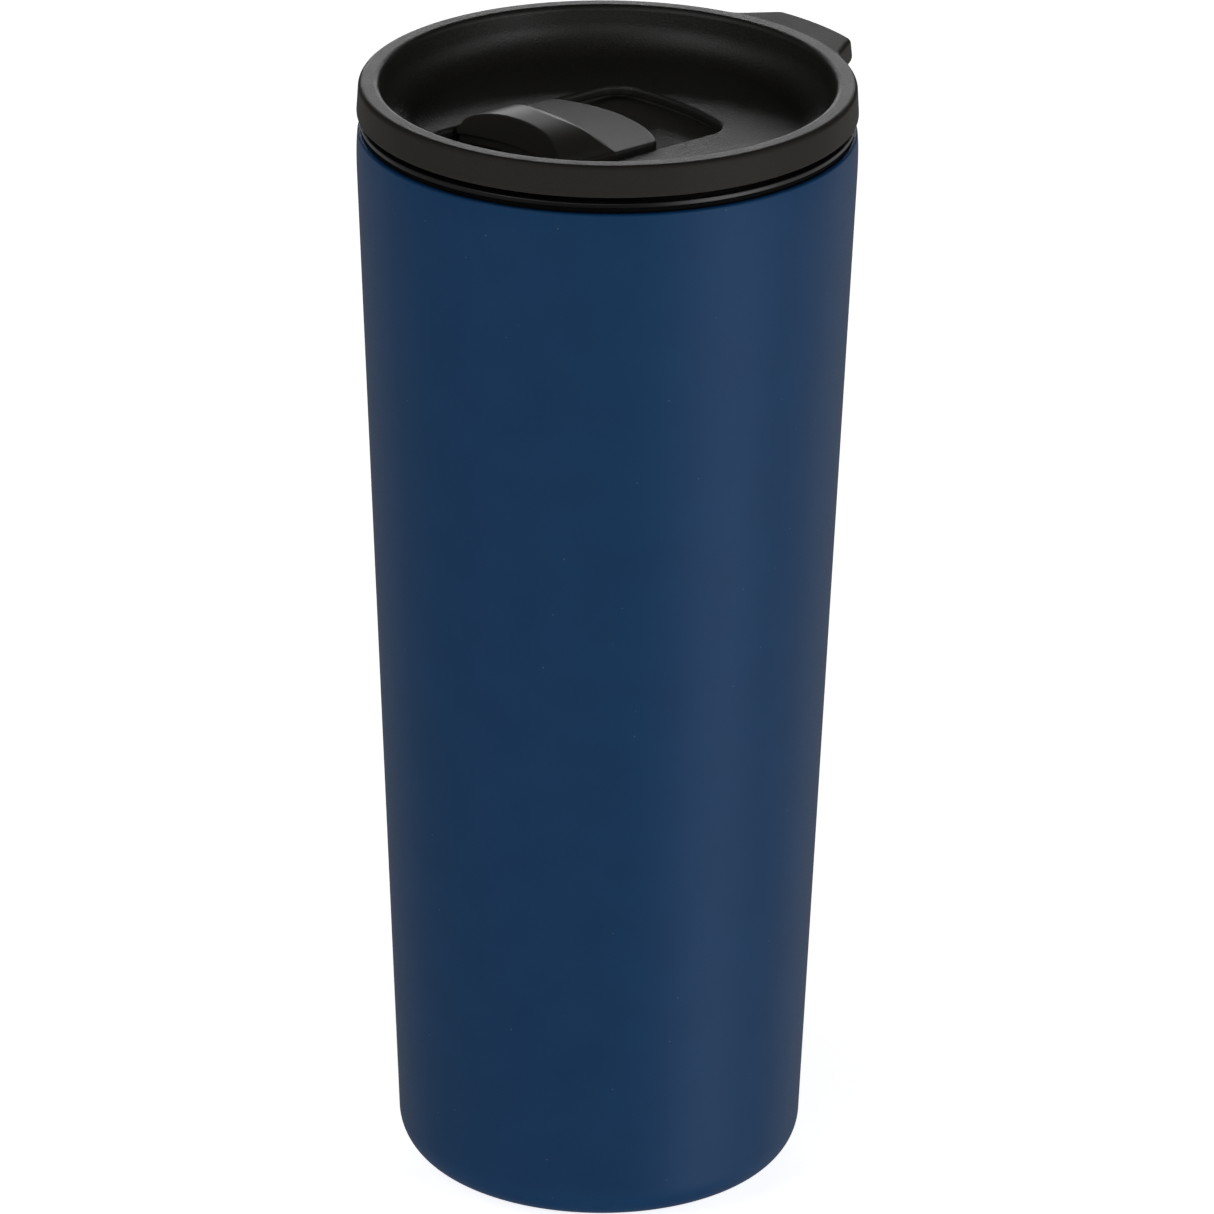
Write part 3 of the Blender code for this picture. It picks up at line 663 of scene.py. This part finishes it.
def make_outer_shell(mat):
    slope = math.degrees(math.atan2(TAPER_TOP_R - TAPER_FOOT_R, BODY_HEIGHT - TAPER_FOOT_Z))
    corner_r = side_radius(CORNER_R) - CORNER_R
    profile = arc((corner_r, CORNER_R), CORNER_R, -90, -slope, 24)
    heights = [*np.linspace(STRAIGHT_Z, SHOULDER_Z, 24),
               *np.linspace(SHOULDER_Z, BODY_HEIGHT - LIP_EDGE, 24)[1:-1]]
    profile += [(drawn_side(z), z) for z in heights]
    profile += arc((LIP_R - LIP_EDGE, BODY_HEIGHT - LIP_EDGE), LIP_EDGE, 0, 90, 8)
    profile += [(LIP_SEAM_R, BODY_HEIGHT), (LIP_SEAM_R, BODY_HEIGHT - LIP_SEAM_DEPTH)]
    profile += [(drawn_side(z) - SHEET, z) for z in (BODY_HEIGHT - SHELL_LIP_DEPTH, SHOULDER_Z)]
    profile += arc((corner_r, CORNER_R), CORNER_R - SHEET, -slope, -90, 12)
    profile += [(FOOT_INNER_R, SHEET), (FOOT_INNER_R, FOOT_EDGE), (FOOT_INNER_R + FOOT_EDGE, 0.0)]
    shell = turned("mug_outer_shell", profile)
    weighted(shell)
    finish_piece(shell, mat, "cup", "outer_shell")


def make_inner_liner(mat):
    floor = LINER_LOW.z + SHEET
    wall_in = side_radius(NECK_CONE_Z) - WALL_TOTAL
    foot_in = side_radius(floor + LINER_CORNER_R) - WALL_TOTAL
    middle = (foot_in - LINER_CORNER_R, floor + LINER_CORNER_R)
    lip_out = LIP_SEAM_R - SEAM
    profile = [(0.0, floor)]
    profile += arc(middle, LINER_CORNER_R, -90, 0, 16)
    profile += [(wall_in, NECK_CONE_Z - NECK_BEND), (wall_in + NECK_EASE, NECK_CONE_Z),
                (NECK_R - NECK_EASE, NECK_FOOT_Z), (NECK_R, NECK_FOOT_Z + NECK_BEND)]
    profile += arc((NECK_R + MOUTH_EDGE, BODY_HEIGHT - MOUTH_EDGE), MOUTH_EDGE, 180, 90, 6)
    profile += [(lip_out, BODY_HEIGHT), (lip_out, BODY_HEIGHT - LIP_SEAM_DEPTH),
                (NECK_R + SHEET, BODY_HEIGHT - LINER_LIP_DEPTH), (NECK_R + SHEET, NECK_FOOT_Z),
                (wall_in + SHEET, NECK_CONE_Z)]
    profile += arc(middle, LINER_CORNER_R + SHEET, 0, -90, 16)
    profile += [(0.0, floor - SHEET)]
    liner = turned("mug_inner_liner", profile)
    weighted(liner)
    finish_piece(liner, mat, "cup", "inner_liner")


def make_outer_base(mat):
    """Pressed disc in the foot, with the pump-out hole in a dimple."""
    top = BASE_HIGH.z
    low = BASE_LOW.z
    edge = FOOT_INNER_R - SEAM
    bend = DIMPLE_ROUND
    profile = [(PUMP_HOLE_R, top)]
    profile += arc((DIMPLE_R - bend, top - bend), bend, 90, 30, 4)
    profile += arc((DIMPLE_R + DIMPLE_TOP_RUN, top - BASE_SHEET + bend), bend, 210, 270, 4)
    profile += [(edge, top - BASE_SHEET), (edge, low)]
    profile += arc((DIMPLE_R + DIMPLE_LOW_RUN, low + bend), bend, 270, 210, 4)
    profile += arc((DIMPLE_R - DIMPLE_LOW_RUN, low + BASE_SHEET - bend), bend, 30, 90, 4)
    profile += [(PUMP_HOLE_R, low + BASE_SHEET)]
    base = turned("mug_outer_base", profile)
    weighted(base)
    finish_piece(base, mat, "cup", "outer_base")


def make_seal_plug(mat):
    middle = (PLUG_LOW.z + PLUG_HIGH.z) / 2
    half = (PLUG_HIGH.z - PLUG_LOW.z) / 2
    waist = PLUG_HIGH.x - half
    profile = [(0.0, PLUG_HIGH.z)] + arc((waist, middle), half, 90, -90, 12) + [(0.0, PLUG_LOW.z)]
    plug = turned("mug_seal_plug", profile, SMALL_STEPS)
    weighted(plug)
    finish_piece(plug, mat, "cup", "seal_plug")


def make_base_pad(mat):
    """Silicone disc with concentric grooves in its lower face."""
    edge_r = PAD_HIGH.x
    edge = PAD_EDGE
    groove = PAD_GROOVE_R
    profile = [(0.0, PAD_LOW.z)]
    for i in range(PAD_GROOVES):
        middle = edge_r * (i + 1.5) / (PAD_GROOVES + 1.5)
        profile += [(middle - 1.5 * groove, PAD_LOW.z)]
        profile += [(middle + groove * math.cos(a), PAD_LOW.z + groove * math.sin(a))
                    for a in np.linspace(math.pi, 0, 9)]
        profile += [(middle + 1.5 * groove, PAD_LOW.z)]
    profile += arc((edge_r - edge, PAD_LOW.z + edge), edge, -90, 0, 4)
    profile += arc((edge_r - edge, PAD_HIGH.z - edge), edge, 0, 90, 4)
    profile += [(0.0, PAD_HIGH.z)]
    pad = turned("mug_base_pad", profile)
    weighted(pad)
    finish_piece(pad, mat, "cup", "base_pad")


def make_getter(mat):
    middle_y = (GETTER_LOW.y + GETTER_HIGH.y) / 2
    radius = GETTER_HIGH.x
    edge = GETTER_EDGE
    profile = [(0.0, GETTER_HIGH.z)]
    profile += arc((radius - edge, GETTER_HIGH.z - edge), edge, 90, 0, 5)
    profile += arc((radius - edge, GETTER_LOW.z + edge), edge, 0, -90, 5)
    profile += [(0.0, GETTER_LOW.z)]
    pellet = turned("mug_getter", profile, SMALL_STEPS)
    pellet.data.transform(Matrix.Translation((0, middle_y, 0)))
    weighted(pellet)
    finish_piece(pellet, mat, "cup", "getter")


def dress_getter_bracket(mat):
    """The strap keeps its CAD shape, with its edges broken."""
    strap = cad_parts["getter_bracket"]
    strap.data.materials.clear()
    strap.data.materials.append(mat)
    bevel = strap.modifiers.new("Edges", 'BEVEL')
    bevel.width = STRAP_EDGE
    bevel.segments = 2
    weighted(strap)


def make_copper_shield(mat):
    """The wrap round the liner, in even hoops."""
    low_r = side_radius(SHIELD_LOW.z) - WALL_TOTAL + SHEET + SHIELD_GAP
    high_r = SHIELD_HIGH.x - SHIELD_THICK
    inside = [(low_r + share * (high_r - low_r), SHIELD_LOW.z + share * (SHIELD_HIGH.z - SHIELD_LOW.z))
              for share in np.linspace(0, 1, 40)]
    outside = [(r + SHIELD_THICK, z) for r, z in inside]
    shield = turned("mug_copper_shield", outside + inside[::-1])
    weighted(shield)
    finish_piece(shield, mat, "cup", "copper_shield")


# Lid

def tab_half():
    """Half of the tab's outline, from the middle of its end to where it meets the band."""
    corner_x = TAB_HALF - TAB_CORNER_R
    corner = (corner_x, math.sqrt((TAB_END_R - TAB_CORNER_R) ** 2 - corner_x ** 2))
    root = (TAB_ROOT_X, math.sqrt((BAND_R + TAB_ROOT_R) ** 2 - TAB_ROOT_X ** 2))
    apart = math.hypot(root[0] - corner[0], root[1] - corner[1])
    heading = math.degrees(math.atan2(root[1] - corner[1], root[0] - corner[0]))
    flank = heading + math.degrees(math.acos((TAB_CORNER_R + TAB_ROOT_R) / apart))
    end_half = math.degrees(math.atan2(corner[0], corner[1]))
    root_turn = math.degrees(math.atan2(-root[1], -root[0]))
    half = arc((0, 0), TAB_END_R, 90, 90 - end_half, 10)[:-1]
    half += arc(corner, TAB_CORNER_R, 90 - end_half, flank, 12)
    start = half[-1]
    rest = arc(root, TAB_ROOT_R, flank - 180, root_turn, 14)
    half += line(start, rest[0], 4)[1:]
    return half + rest


def cover_outline():
    """The cover seen from above, anticlockwise from the middle of the tab, and the angle
    of each grid column, which is even across the tab."""
    half = tab_half()
    root_angle = math.atan2(half[-1][1], half[-1][0])
    turn = math.tau - 2 * (math.pi / 2 - root_angle)
    round_angles = math.pi - root_angle + turn * np.arange(COLUMNS_ROUND) / COLUMNS_ROUND
    left = [(-x, y) for x, y in half]
    rim = [(BAND_R * math.cos(a), BAND_R * math.sin(a)) for a in round_angles]
    outline = left[:-1] + rim + half[:0:-1]
    spread_left = np.linspace(math.pi / 2, math.pi - root_angle, len(left))[:-1]
    spread_right = np.linspace(root_angle, math.pi / 2, len(half))[:-1] + math.tau
    angles = np.concatenate([spread_left, round_angles, spread_right])
    return np.array(outline), angles


def hoops(angles, profile):
    """Round rings of the cover's grid, from a profile of (radius, height)."""
    directions = np.stack([np.cos(angles), np.sin(angles)], axis=1)
    return [at_height(directions * radius, height) for radius, height in profile]


def side_rings(outline, angles):
    """Underside of the band, its side and the tab's, and the rounding up to the rim."""
    edge = PLUG_EDGE
    band_low = RIM_TOP - BAND_HIGH
    tab_low = RIM_TOP - TAB_DEPTH
    overhang = np.hypot(outline[:, 0], outline[:, 1]) - BAND_R
    under = np.minimum(TAB_UNDER_ROUND, 0.6 * overhang)
    profile = [(PLUG_R, COVER_LOW.z + edge), (PLUG_R, band_low - edge)]
    profile += arc((PLUG_R + edge, band_low - edge), edge, 180, 90, 3)
    profile += arc((BAND_R - BAND_EDGE, band_low + BAND_EDGE), BAND_EDGE, -90, 0, 5)
    rings = hoops(angles, profile + [(BAND_R, tab_low)])
    for a in np.radians(np.linspace(-90, 0, 9)):
        height = tab_low + under * (1 + math.sin(a))
        rings.append(at_height(inset(outline, under * (1 - math.cos(a))), height))
    for x, z in arc((0, RIM_TOP - RIM_OUT_ROUND), RIM_OUT_ROUND, 0, 90, 9):
        rings.append(at_height(inset(outline, BAND_DRAFT + RIM_OUT_ROUND - x), z))
    return rings


def bowl_rings(angles, floor):
    """Inner rounding of the rim, the leaning wall, and the cove down to the floor."""
    turn = math.radians(BOWL_SLOPE)
    profile = arc((BOWL_R + RIM_IN_ROUND, RIM_TOP - RIM_IN_ROUND), RIM_IN_ROUND, 90, 180 - BOWL_SLOPE, 9)
    wall_top_r, wall_top_z = profile[-1]
    cove_z = floor + COVE_R
    wall_low_r = wall_top_r - math.tan(turn) * (wall_top_z - cove_z + COVE_R * math.sin(turn))
    profile += arc((wall_low_r - COVE_R * math.cos(turn), cove_z), COVE_R, -BOWL_SLOPE, -90, 14)
    return hoops(angles, profile)


def window_rings(angles, floor, floor_low):
    """The window's rounded mouth and its lower edge."""
    opening = channel_outline(WINDOW_HALF, WINDOW_BACK_Y, WINDOW_BACK_R, WINDOW_FRONT_R, WINDOW_CORNER_R)
    window = along_rays(opening, angles)
    rings = [at_height(inset(window, x - WINDOW_ROUND), z)
             for x, z in arc((0, floor - WINDOW_ROUND), WINDOW_ROUND, 90, 0, 7)]
    rings += [at_height(inset(window, x - WINDOW_UNDER_ROUND), z)
              for x, z in arc((0, floor_low + WINDOW_UNDER_ROUND), WINDOW_UNDER_ROUND, 0, -90, 4)]
    return rings


def plug_rings(angles, floor_low):
    """Inside and foot of the plug wall under the cover."""
    edge = PLUG_EDGE
    plug_in = PLUG_R - PLUG_WALL
    profile = arc((plug_in - edge, floor_low - edge), edge, 90, 0, 3)
    profile += arc((plug_in + edge, COVER_LOW.z + edge), edge, 180, 270, 3)
    profile += arc((PLUG_R - edge, COVER_LOW.z + edge), edge, 270, 360, 3)[:-1]
    return hoops(angles, profile)


def make_lid_cover(mat):
    """Band, rim, bowl, window, plug wall and lift tab, as one closed grid."""
    outline, angles = cover_outline()
    floor = RIM_TOP - FLOOR_DEPTH
    floor_low = floor - FLOOR_THICK
    rings = side_rings(outline, angles) + bowl_rings(angles, floor)
    rings += window_rings(angles, floor, floor_low) + plug_rings(angles, floor_low)
    cover = lofted("mug_lid_cover", rings, closed=True)
    weighted(cover)
    finish_piece(cover, mat, "lid", "lid_cover")


def make_lid_tray(mat):
    """Floor of the channel, with the drinking opening and two vents."""
    edge = TRAY_EDGE
    outer = channel_outline(TRAY_HIGH.x, TRAY_HIGH.y, TRAY_BACK_R, -TRAY_LOW.y, TRAY_CORNER_R)
    inner = inset(outer, TRAY_WALL)
    centre = np.zeros_like(inner)
    rings = [at_height(centre, TRAY_LOW.z)]
    rings += [at_height(inset(outer, edge - x), z)
              for x, z in arc((0, TRAY_LOW.z + edge), edge, -90, 0, 4)]
    rings += [at_height(inset(outer, TRAY_RIM_EDGE - x), z)
              for x, z in arc((0, TRAY_HIGH.z - TRAY_RIM_EDGE), TRAY_RIM_EDGE, 0, 90, 3)]
    rings += [at_height(inner, TRAY_HIGH.z)]
    rings += [at_height(inset(inner, edge + x), z)
              for x, z in arc((0, TRAY_FLOOR + edge), edge, 180, 270, 4)]
    rings += [at_height(centre, TRAY_FLOOR)]
    tray = lofted("mug_lid_tray", rings, closed=False)
    holes = [hole("drink_cut", slot_outline(DRINK_HALF, DRINK_FRONT_Y, DRINK_BACK_Y))]
    for side in (-1, 1):
        vent = circle(VENT_R, 48) + np.array([side * VENT_X, (DRINK_FRONT_Y + DRINK_BACK_Y) / 2])
        holes.append(hole(f"vent_cut_{side + 2}", vent))
    for cutter in holes:
        boolean(tray, cutter, 'DIFFERENCE')
    bake_modifiers(tray, *holes)
    tray.data.set_sharp_from_angle(angle=math.radians(40))
    weighted(tray)
    finish_piece(tray, mat, "lid", "lid_tray")


def hole(name, outline):
    """A cutter through the tray's floor that leaves rounded mouths."""
    low = TRAY_LOW.z
    high = TRAY_FLOOR
    centre = np.zeros_like(outline) + np.mean(outline, axis=0)
    rings = [at_height(centre, low - MM),
             at_height(inset(outline, -HOLE_ROUND), low - MM)]
    rings += [at_height(inset(outline, x), z)
              for x, z in arc((-HOLE_ROUND, low + HOLE_ROUND), HOLE_ROUND, -90, 0)]
    rings += [at_height(inset(outline, x), z)
              for x, z in arc((-HOLE_ROUND, high - HOLE_ROUND), HOLE_ROUND, 0, 90)]
    rings += [at_height(inset(outline, -HOLE_ROUND), high + MM), at_height(centre, high + MM)]
    return lofted(name, rings, closed=False)


def make_lid_collar(mat):
    """Ring under the cover: visible flange, seat over the cup's lip, and gasket groove."""
    top = COLLAR_HIGH.z
    flange_r = COLLAR_HIGH.x
    flange_low = top - FLANGE_THICK
    seat = BODY_HEIGHT + LIP_GAP
    upper_in = PLUG_R + SEAT_GAP
    ledge = COVER_LOW.z - SEAT_GAP
    edge = FLANGE_EDGE
    groove_high = GASKET_HIGH.z + GROOVE_GAP
    groove_low = GASKET_LOW.z - GROOVE_GAP
    profile = [(upper_in, top)]
    profile += arc((flange_r - edge, top - edge), edge, 90, 0, 5)
    profile += arc((flange_r - edge, flange_low + edge), edge, 0, -90, 5)
    profile += arc((SEAT_R + edge, flange_low - edge), edge, 90, 180, 3)
    profile += arc((SEAT_R - edge, seat + edge), edge, 0, -90, 3)
    profile += arc((COLLAR_R + edge, seat - edge), edge, 90, 180, 3)
    profile += arc((COLLAR_R - edge, groove_high + edge), edge, 0, -90, 3)
    profile += [(GROOVE_R, groove_high), (GROOVE_R, groove_low)]
    profile += arc((COLLAR_R - edge, groove_low - edge), edge, 90, 0, 3)
    profile += arc((COLLAR_R - COLLAR_LEAD - 2 * edge, COLLAR_LOW.z + 2 * edge), 2 * edge, 0, -90, 5)
    profile += arc((COLLAR_INNER_R + edge, COLLAR_LOW.z + edge), edge, -90, -180, 3)
    profile += arc((COLLAR_INNER_R + edge, ledge - edge), edge, 180, 90, 3)
    profile += [(upper_in, ledge)]
    collar = turned("mug_lid_collar", profile)
    weighted(collar)
    finish_piece(collar, mat, "lid", "lid_collar")


def make_lid_gasket(mat):
    """Silicone ring with two soft lips."""
    root = GROOVE_R + SEAM
    low = GASKET_LOW.z
    high = GASKET_HIGH.z
    tip_r = GASKET_HIGH.x - SEAL_TIP
    middle = (low + high) / 2
    profile = [(root, high), (SEAL_ROOT_R - SEAL_EDGE_IN, high), (SEAL_ROOT_R, high - SEAL_EDGE_DOWN)]
    profile += arc((tip_r, high - SEAL_LIP), SEAL_TIP, 60, -60, 6)
    profile += [(SEAL_ROOT_R, middle + SEAL_WAIST_HALF), (SEAL_ROOT_R - SEAL_WAIST, middle),
                (SEAL_ROOT_R, middle - SEAL_WAIST_HALF)]
    profile += arc((tip_r, low + SEAL_LIP), SEAL_TIP, 60, -60, 6)
    profile += [(SEAL_ROOT_R, low + SEAL_EDGE_DOWN), (SEAL_ROOT_R - SEAL_EDGE_IN, low), (root, low)]
    gasket = turned("mug_lid_gasket", profile)
    weighted(gasket)
    finish_piece(gasket, mat, "lid", "lid_gasket")


# Slide closure

def plate_outline():
    """The plate seen from above: a crowned leading edge and a straight front."""
    half = PLATE_HALF
    corner = PLATE_CORNER_R
    back_middle = SLIDER_HIGH.y - PLATE_BACK_R
    rise = math.sqrt((PLATE_BACK_R - corner) ** 2 - (half - corner) ** 2)
    centre = (half - corner, back_middle + rise)
    tilt = math.degrees(math.atan2(centre[0], centre[1] - back_middle))
    outline = line((-half, PLATE_FRONT_Y), (half, PLATE_FRONT_Y), 24)
    outline += line((half, PLATE_FRONT_Y), (half, centre[1]), 24)
    outline += arc(centre, corner, 0, 90 - tilt, 8)
    outline += arc((0.0, back_middle), PLATE_BACK_R, 90 - tilt, 90 + tilt, 32)[1:-1]
    outline += arc((-centre[0], centre[1]), corner, 90 + tilt, 180, 8)
    outline += line((-half, centre[1]), (-half, PLATE_FRONT_Y), 24)[1:]
    return outline


def hump_arch(count=96):
    """The hump seen from the front: (x, height above its foot), with full, round shoulders."""
    turns = np.linspace(0, math.pi, count + 1)
    across = np.sign(np.cos(turns)) * np.abs(np.cos(turns)) ** (2 / HUMP_POWER)
    up = np.abs(np.sin(turns)) ** (2 / HUMP_POWER)
    return [(HUMP_HALF * x, HUMP_HIGH * z) for x, z in zip(across, up)]


def make_hump(plate_top):
    """Thumb hump: the arch, run back along Y and cut off by a rounded slope."""
    crest = SLIDER_HIGH.z
    back_y = HUMP_BACK_AXIS_Y + HUMP_BACK_R
    hump = prism("hump", hump_arch(), PLATE_FRONT_Y, back_y)
    stand = Matrix(((1, 0, 0, 0), (0, 0, 1, 0), (0, 1, 0, crest - HUMP_HIGH), (0, 0, 0, 1)))
    hump.data.transform(stand)
    hump.data.flip_normals()
    tilt = math.degrees(math.atan2(crest - plate_top, HUMP_BACK_R - HUMP_TOP_R))
    bend = HUMP_BACK_ROUND * math.tan(math.radians(tilt / 2))
    profile = [(0.0, crest)]
    profile += arc((HUMP_TOP_R - bend, crest - HUMP_BACK_ROUND), HUMP_BACK_ROUND, 90, 90 - tilt, 12)
    profile += [(HUMP_BACK_R, plate_top), (HUMP_BACK_R, SLIDER_LOW.z), (0.0, SLIDER_LOW.z)]
    slope = turned("hump_slope", profile, FINE_STEPS)
    slope.data.transform(Matrix.Translation((0, HUMP_BACK_AXIS_Y, 0)))
    boolean(hump, slope, 'INTERSECT')
    bake_modifiers(hump, slope)
    return hump


def upright_cutter(name, y, radius, low, high):
    cutter = turned(name, [(0.0, low), (radius, low), (radius, high), (0.0, high)], FINE_STEPS)
    cutter.data.transform(Matrix.Translation((0, y, 0)))
    return cutter


def make_slider(mat):
    """Plate, hump and side runs as one moulding, hollowed below for the silicone pad."""
    plate_top = RIM_TOP - FLOOR_DEPTH + PLATE_PROUD
    below = SLIDER_LOW.z - MM
    slider = prism("mug_slider", plate_outline(), SLIDER_LOW.z, plate_top, PLATE_EDGE)
    helpers = [make_hump(plate_top)]
    for side in (-1, 1):
        middle = side * (SLIDER_HIGH.x + PLATE_HALF - MM) / 2
        half = (SLIDER_HIGH.x - PLATE_HALF + MM) / 2
        run = [(middle + x, y) for x, y in bar_outline(half, RAIL_FRONT_Y, RAIL_BACK_Y)]
        helpers.append(prism(f"run_{side + 2}", run, SLIDER_LOW.z, TRAY_HIGH.z, RAIL_EDGE))
    for helper in helpers:
        boolean(slider, helper, 'UNION')
    pocket = slot_outline(SEAL_HIGH.x + PAD_GAP, SEAL_LOW.y - PAD_GAP, SEAL_HIGH.y + PAD_GAP)
    cutters = [upright_cutter("face_cut", FACE_AXIS_Y, FACE_R, below, RIM_TOP),
               upright_cutter("undercut", FACE_AXIS_Y, UNDERCUT_R, below, RIM_TOP - UNDERCUT_DEPTH),
               prism("pad_pocket", pocket, below, SEAL_HIGH.z + PAD_GAP)]
    for cutter in cutters:
        boolean(slider, cutter, 'DIFFERENCE')
    remesh = slider.modifiers.new("Even", 'REMESH')
    remesh.mode = 'VOXEL'
    remesh.voxel_size = SLIDER_VOXEL
    soften = slider.modifiers.new("Soften", 'SMOOTH')
    soften.factor = 0.5
    soften.iterations = 8
    bake_modifiers(slider, *helpers, *cutters)
    slider.data.shade_smooth()
    finish_piece(slider, mat, "slider", "slider")


def bar_outline(half, low, high):
    """A narrow bar with small round corners, along Y."""
    corner = RAIL_CORNER_R
    outline = arc((half - corner, low + corner), corner, -90, 0, 4)
    outline += arc((half - corner, high - corner), corner, 0, 90, 4)
    outline += arc((corner - half, high - corner), corner, 90, 180, 4)
    return outline + arc((corner - half, low + corner), corner, 180, 270, 4)


def make_slider_seal(mat):
    """Silicone pad over the drinking opening and the vents."""
    pad = prism("mug_slider_seal", slot_outline(SEAL_HIGH.x, SEAL_LOW.y, SEAL_HIGH.y),
                SEAL_LOW.z, SEAL_HIGH.z, PAD_ROUND)
    weighted(pad)
    finish_piece(pad, mat, "slider", "slider_seal")


# Studio

def make_camera():
    azimuth = math.radians(VIEW_AZIMUTH)
    elevation = math.radians(VIEW_ELEVATION)
    back = Vector((math.sin(azimuth) * math.cos(elevation),
                   -math.cos(azimuth) * math.cos(elevation), math.sin(elevation)))
    data = bpy.data.cameras.new("camera")
    data.lens = LENS
    data.sensor_width = SENSOR
    data.shift_x = SHIFT_X
    data.shift_y = SHIFT_Y
    camera = bpy.data.objects.new("camera", data)
    bpy.context.scene.collection.objects.link(camera)
    camera.rotation_mode = 'QUATERNION'
    turn = Matrix.Rotation(math.radians(VIEW_ROLL), 4, back)
    camera.rotation_quaternion = turn.to_quaternion() @ (-back).to_track_quat('-Z', 'Y')
    camera.location = Vector((0, 0, VIEW_HEIGHT)) + back * VIEW_DISTANCE
    bpy.context.scene.camera = camera


def make_floor(mat):
    rings = [at_height(circle(r, SMALL_STEPS), -FLOOR_LOW) for r in FLOOR_RADII]
    floor = lofted("studio_floor", rings, closed=False)
    floor.data.materials.append(mat)
    floor.visible_glossy = False


def make_backdrop(mat):
    """White all round for low views. It gives no light to the mug."""
    profile = arc((0, 0), BACKDROP_R, -90, 90, 47)
    rings = [at_height(circle(r, SMALL_STEPS), z) for r, z in profile]
    backdrop = lofted("backdrop", rings, closed=False)
    backdrop.data.materials.append(mat)
    backdrop.visible_diffuse = False
    backdrop.visible_glossy = False
    backdrop.visible_transmission = False
    backdrop.visible_shadow = False


def ramp(tree, value, low, high):
    """From 0 to 1 between two values, eased. It falls where low is the larger."""
    node = tree.nodes.new("ShaderNodeMapRange")
    node.interpolation_type = 'SMOOTHSTEP'
    tree.links.new(value, node.inputs["Value"])
    node.inputs["From Min"].default_value = min(low, high)
    node.inputs["From Max"].default_value = max(low, high)
    node.inputs["To Min"].default_value = float(low > high)
    node.inputs["To Max"].default_value = float(low < high)
    return node.outputs["Result"]


def make_world():
    """A dark room with a white sweep below the horizon, behind the mug and on both sides,
    a white panel on the right, and a faint band above the horizon at the back."""
    world = bpy.data.worlds.new("studio")
    world.use_nodes = True
    bpy.context.scene.world = world
    tree = world.node_tree
    turn = tree.nodes.new("ShaderNodeMapping")
    turn.inputs["Rotation"].default_value = (0, 0, -math.radians(VIEW_AZIMUTH))
    tree.links.new(tree.nodes.new("ShaderNodeTexCoord").outputs["Generated"], turn.inputs["Vector"])
    heading = tree.nodes.new("ShaderNodeSeparateXYZ")
    tree.links.new(turn.outputs["Vector"], heading.inputs["Vector"])
    across, away, up = (heading.outputs[axis] for axis in "XYZ")
    behind = ramp(tree, away, 0.2, 0.7)
    panel = times(tree, ramp(tree, across, 0.40, 0.70), ramp(tree, away, 0.0, -0.4))
    low = times(tree, ramp(tree, across, 0.3, 0.9), SWEEP_RIGHT)
    low = plus(tree, low, times(tree, ramp(tree, across, -0.3, -0.9), SWEEP_LEFT))
    low = plus(tree, low, times(tree, behind, SWEEP_BACK))
    low = plus(tree, low, times(tree, panel, SWEEP_PANEL))
    band = times(tree, ramp(tree, up, 0.0, 0.08), ramp(tree, up, 0.6, 0.35))
    high = times(tree, times(tree, band, behind), SWEEP_HIGH)
    shade = tree.nodes["Background"]
    shade.inputs["Color"].default_value = (1.0, 1.0, 1.0, 1.0)
    tree.links.new(plus(tree, times(tree, low, ramp(tree, up, 0.0, -0.1)), high), shade.inputs["Strength"])


def softbox(name, azimuth, elevation, distance, width, height, power):
    """A soft panel that faces the mug's middle. Azimuth runs from the camera to its right."""
    light = bpy.data.lights.new(name, 'AREA')
    light.shape = 'RECTANGLE'
    light.size = width
    light.size_y = height
    light.energy = power
    obj = bpy.data.objects.new(name, light)
    bpy.context.scene.collection.objects.link(obj)
    around = math.radians(VIEW_AZIMUTH + azimuth)
    up = math.radians(elevation)
    out = Vector((math.sin(around) * math.cos(up), -math.cos(around) * math.cos(up), math.sin(up)))
    obj.location = Vector((0, 0, VIEW_HEIGHT)) + out * distance
    obj.rotation_mode = 'QUATERNION'
    obj.rotation_quaternion = (-out).to_track_quat('-Z', 'Y')
    obj.visible_camera = False


def make_lights():
    softbox("front", -6, 20, 1.6, 0.9, 0.6, 2.1)
    softbox("front_left", -45, 30, 1.5, 0.5, 0.3, 2.0)
    softbox("right", 48, 18, 1.5, 0.5, 0.9, 4.6)
    softbox("right_side", 82, 30, 1.5, 0.6, 0.7, 1.1)
    softbox("left_high", -60, 50, 1.5, 0.9, 0.8, 2.1)
    softbox("left_side", -95, 22, 1.5, 0.7, 0.9, 0.5)
    softbox("back", 180, 14, 1.6, 1.1, 0.4, 5.1)


def main():
    bpy.context.scene.view_settings.view_transform = 'Standard'
    make_camera()
    coat = powder_coat()
    steel = brushed_steel()
    seal = silicone("seal_silicone", (0.085, 0.085, 0.09), (0.12, 0.12, 0.125))
    make_outer_shell(coat)
    make_inner_liner(steel)
    make_outer_base(steel)
    make_seal_plug(solder_glass())
    make_base_pad(silicone("pad_silicone", (0.010, 0.010, 0.010), (0.022, 0.022, 0.022)))
    make_getter(pressed_powder())
    dress_getter_bracket(steel)
    make_copper_shield(copper_foil())
    make_lid_cover(moulded_plastic("lid_plastic", (0.0115, 0.0108, 0.0094), BAND_R - RIM_OUT_ROUND))
    # The tray's colour is about 2.5 times the cover's: painted light on its floor in the shaded recess
    # under the window.
    make_lid_tray(moulded_plastic("tray_plastic", (0.0290, 0.0275, 0.0245), BAND_R))
    make_lid_collar(collar_plastic())
    make_lid_gasket(seal)
    make_slider(slider_plastic())
    make_slider_seal(seal)
    paper = studio_floor()
    make_floor(paper)
    make_backdrop(paper)
    make_world()
    make_lights()


main()
bpy.context.view_layer.update()
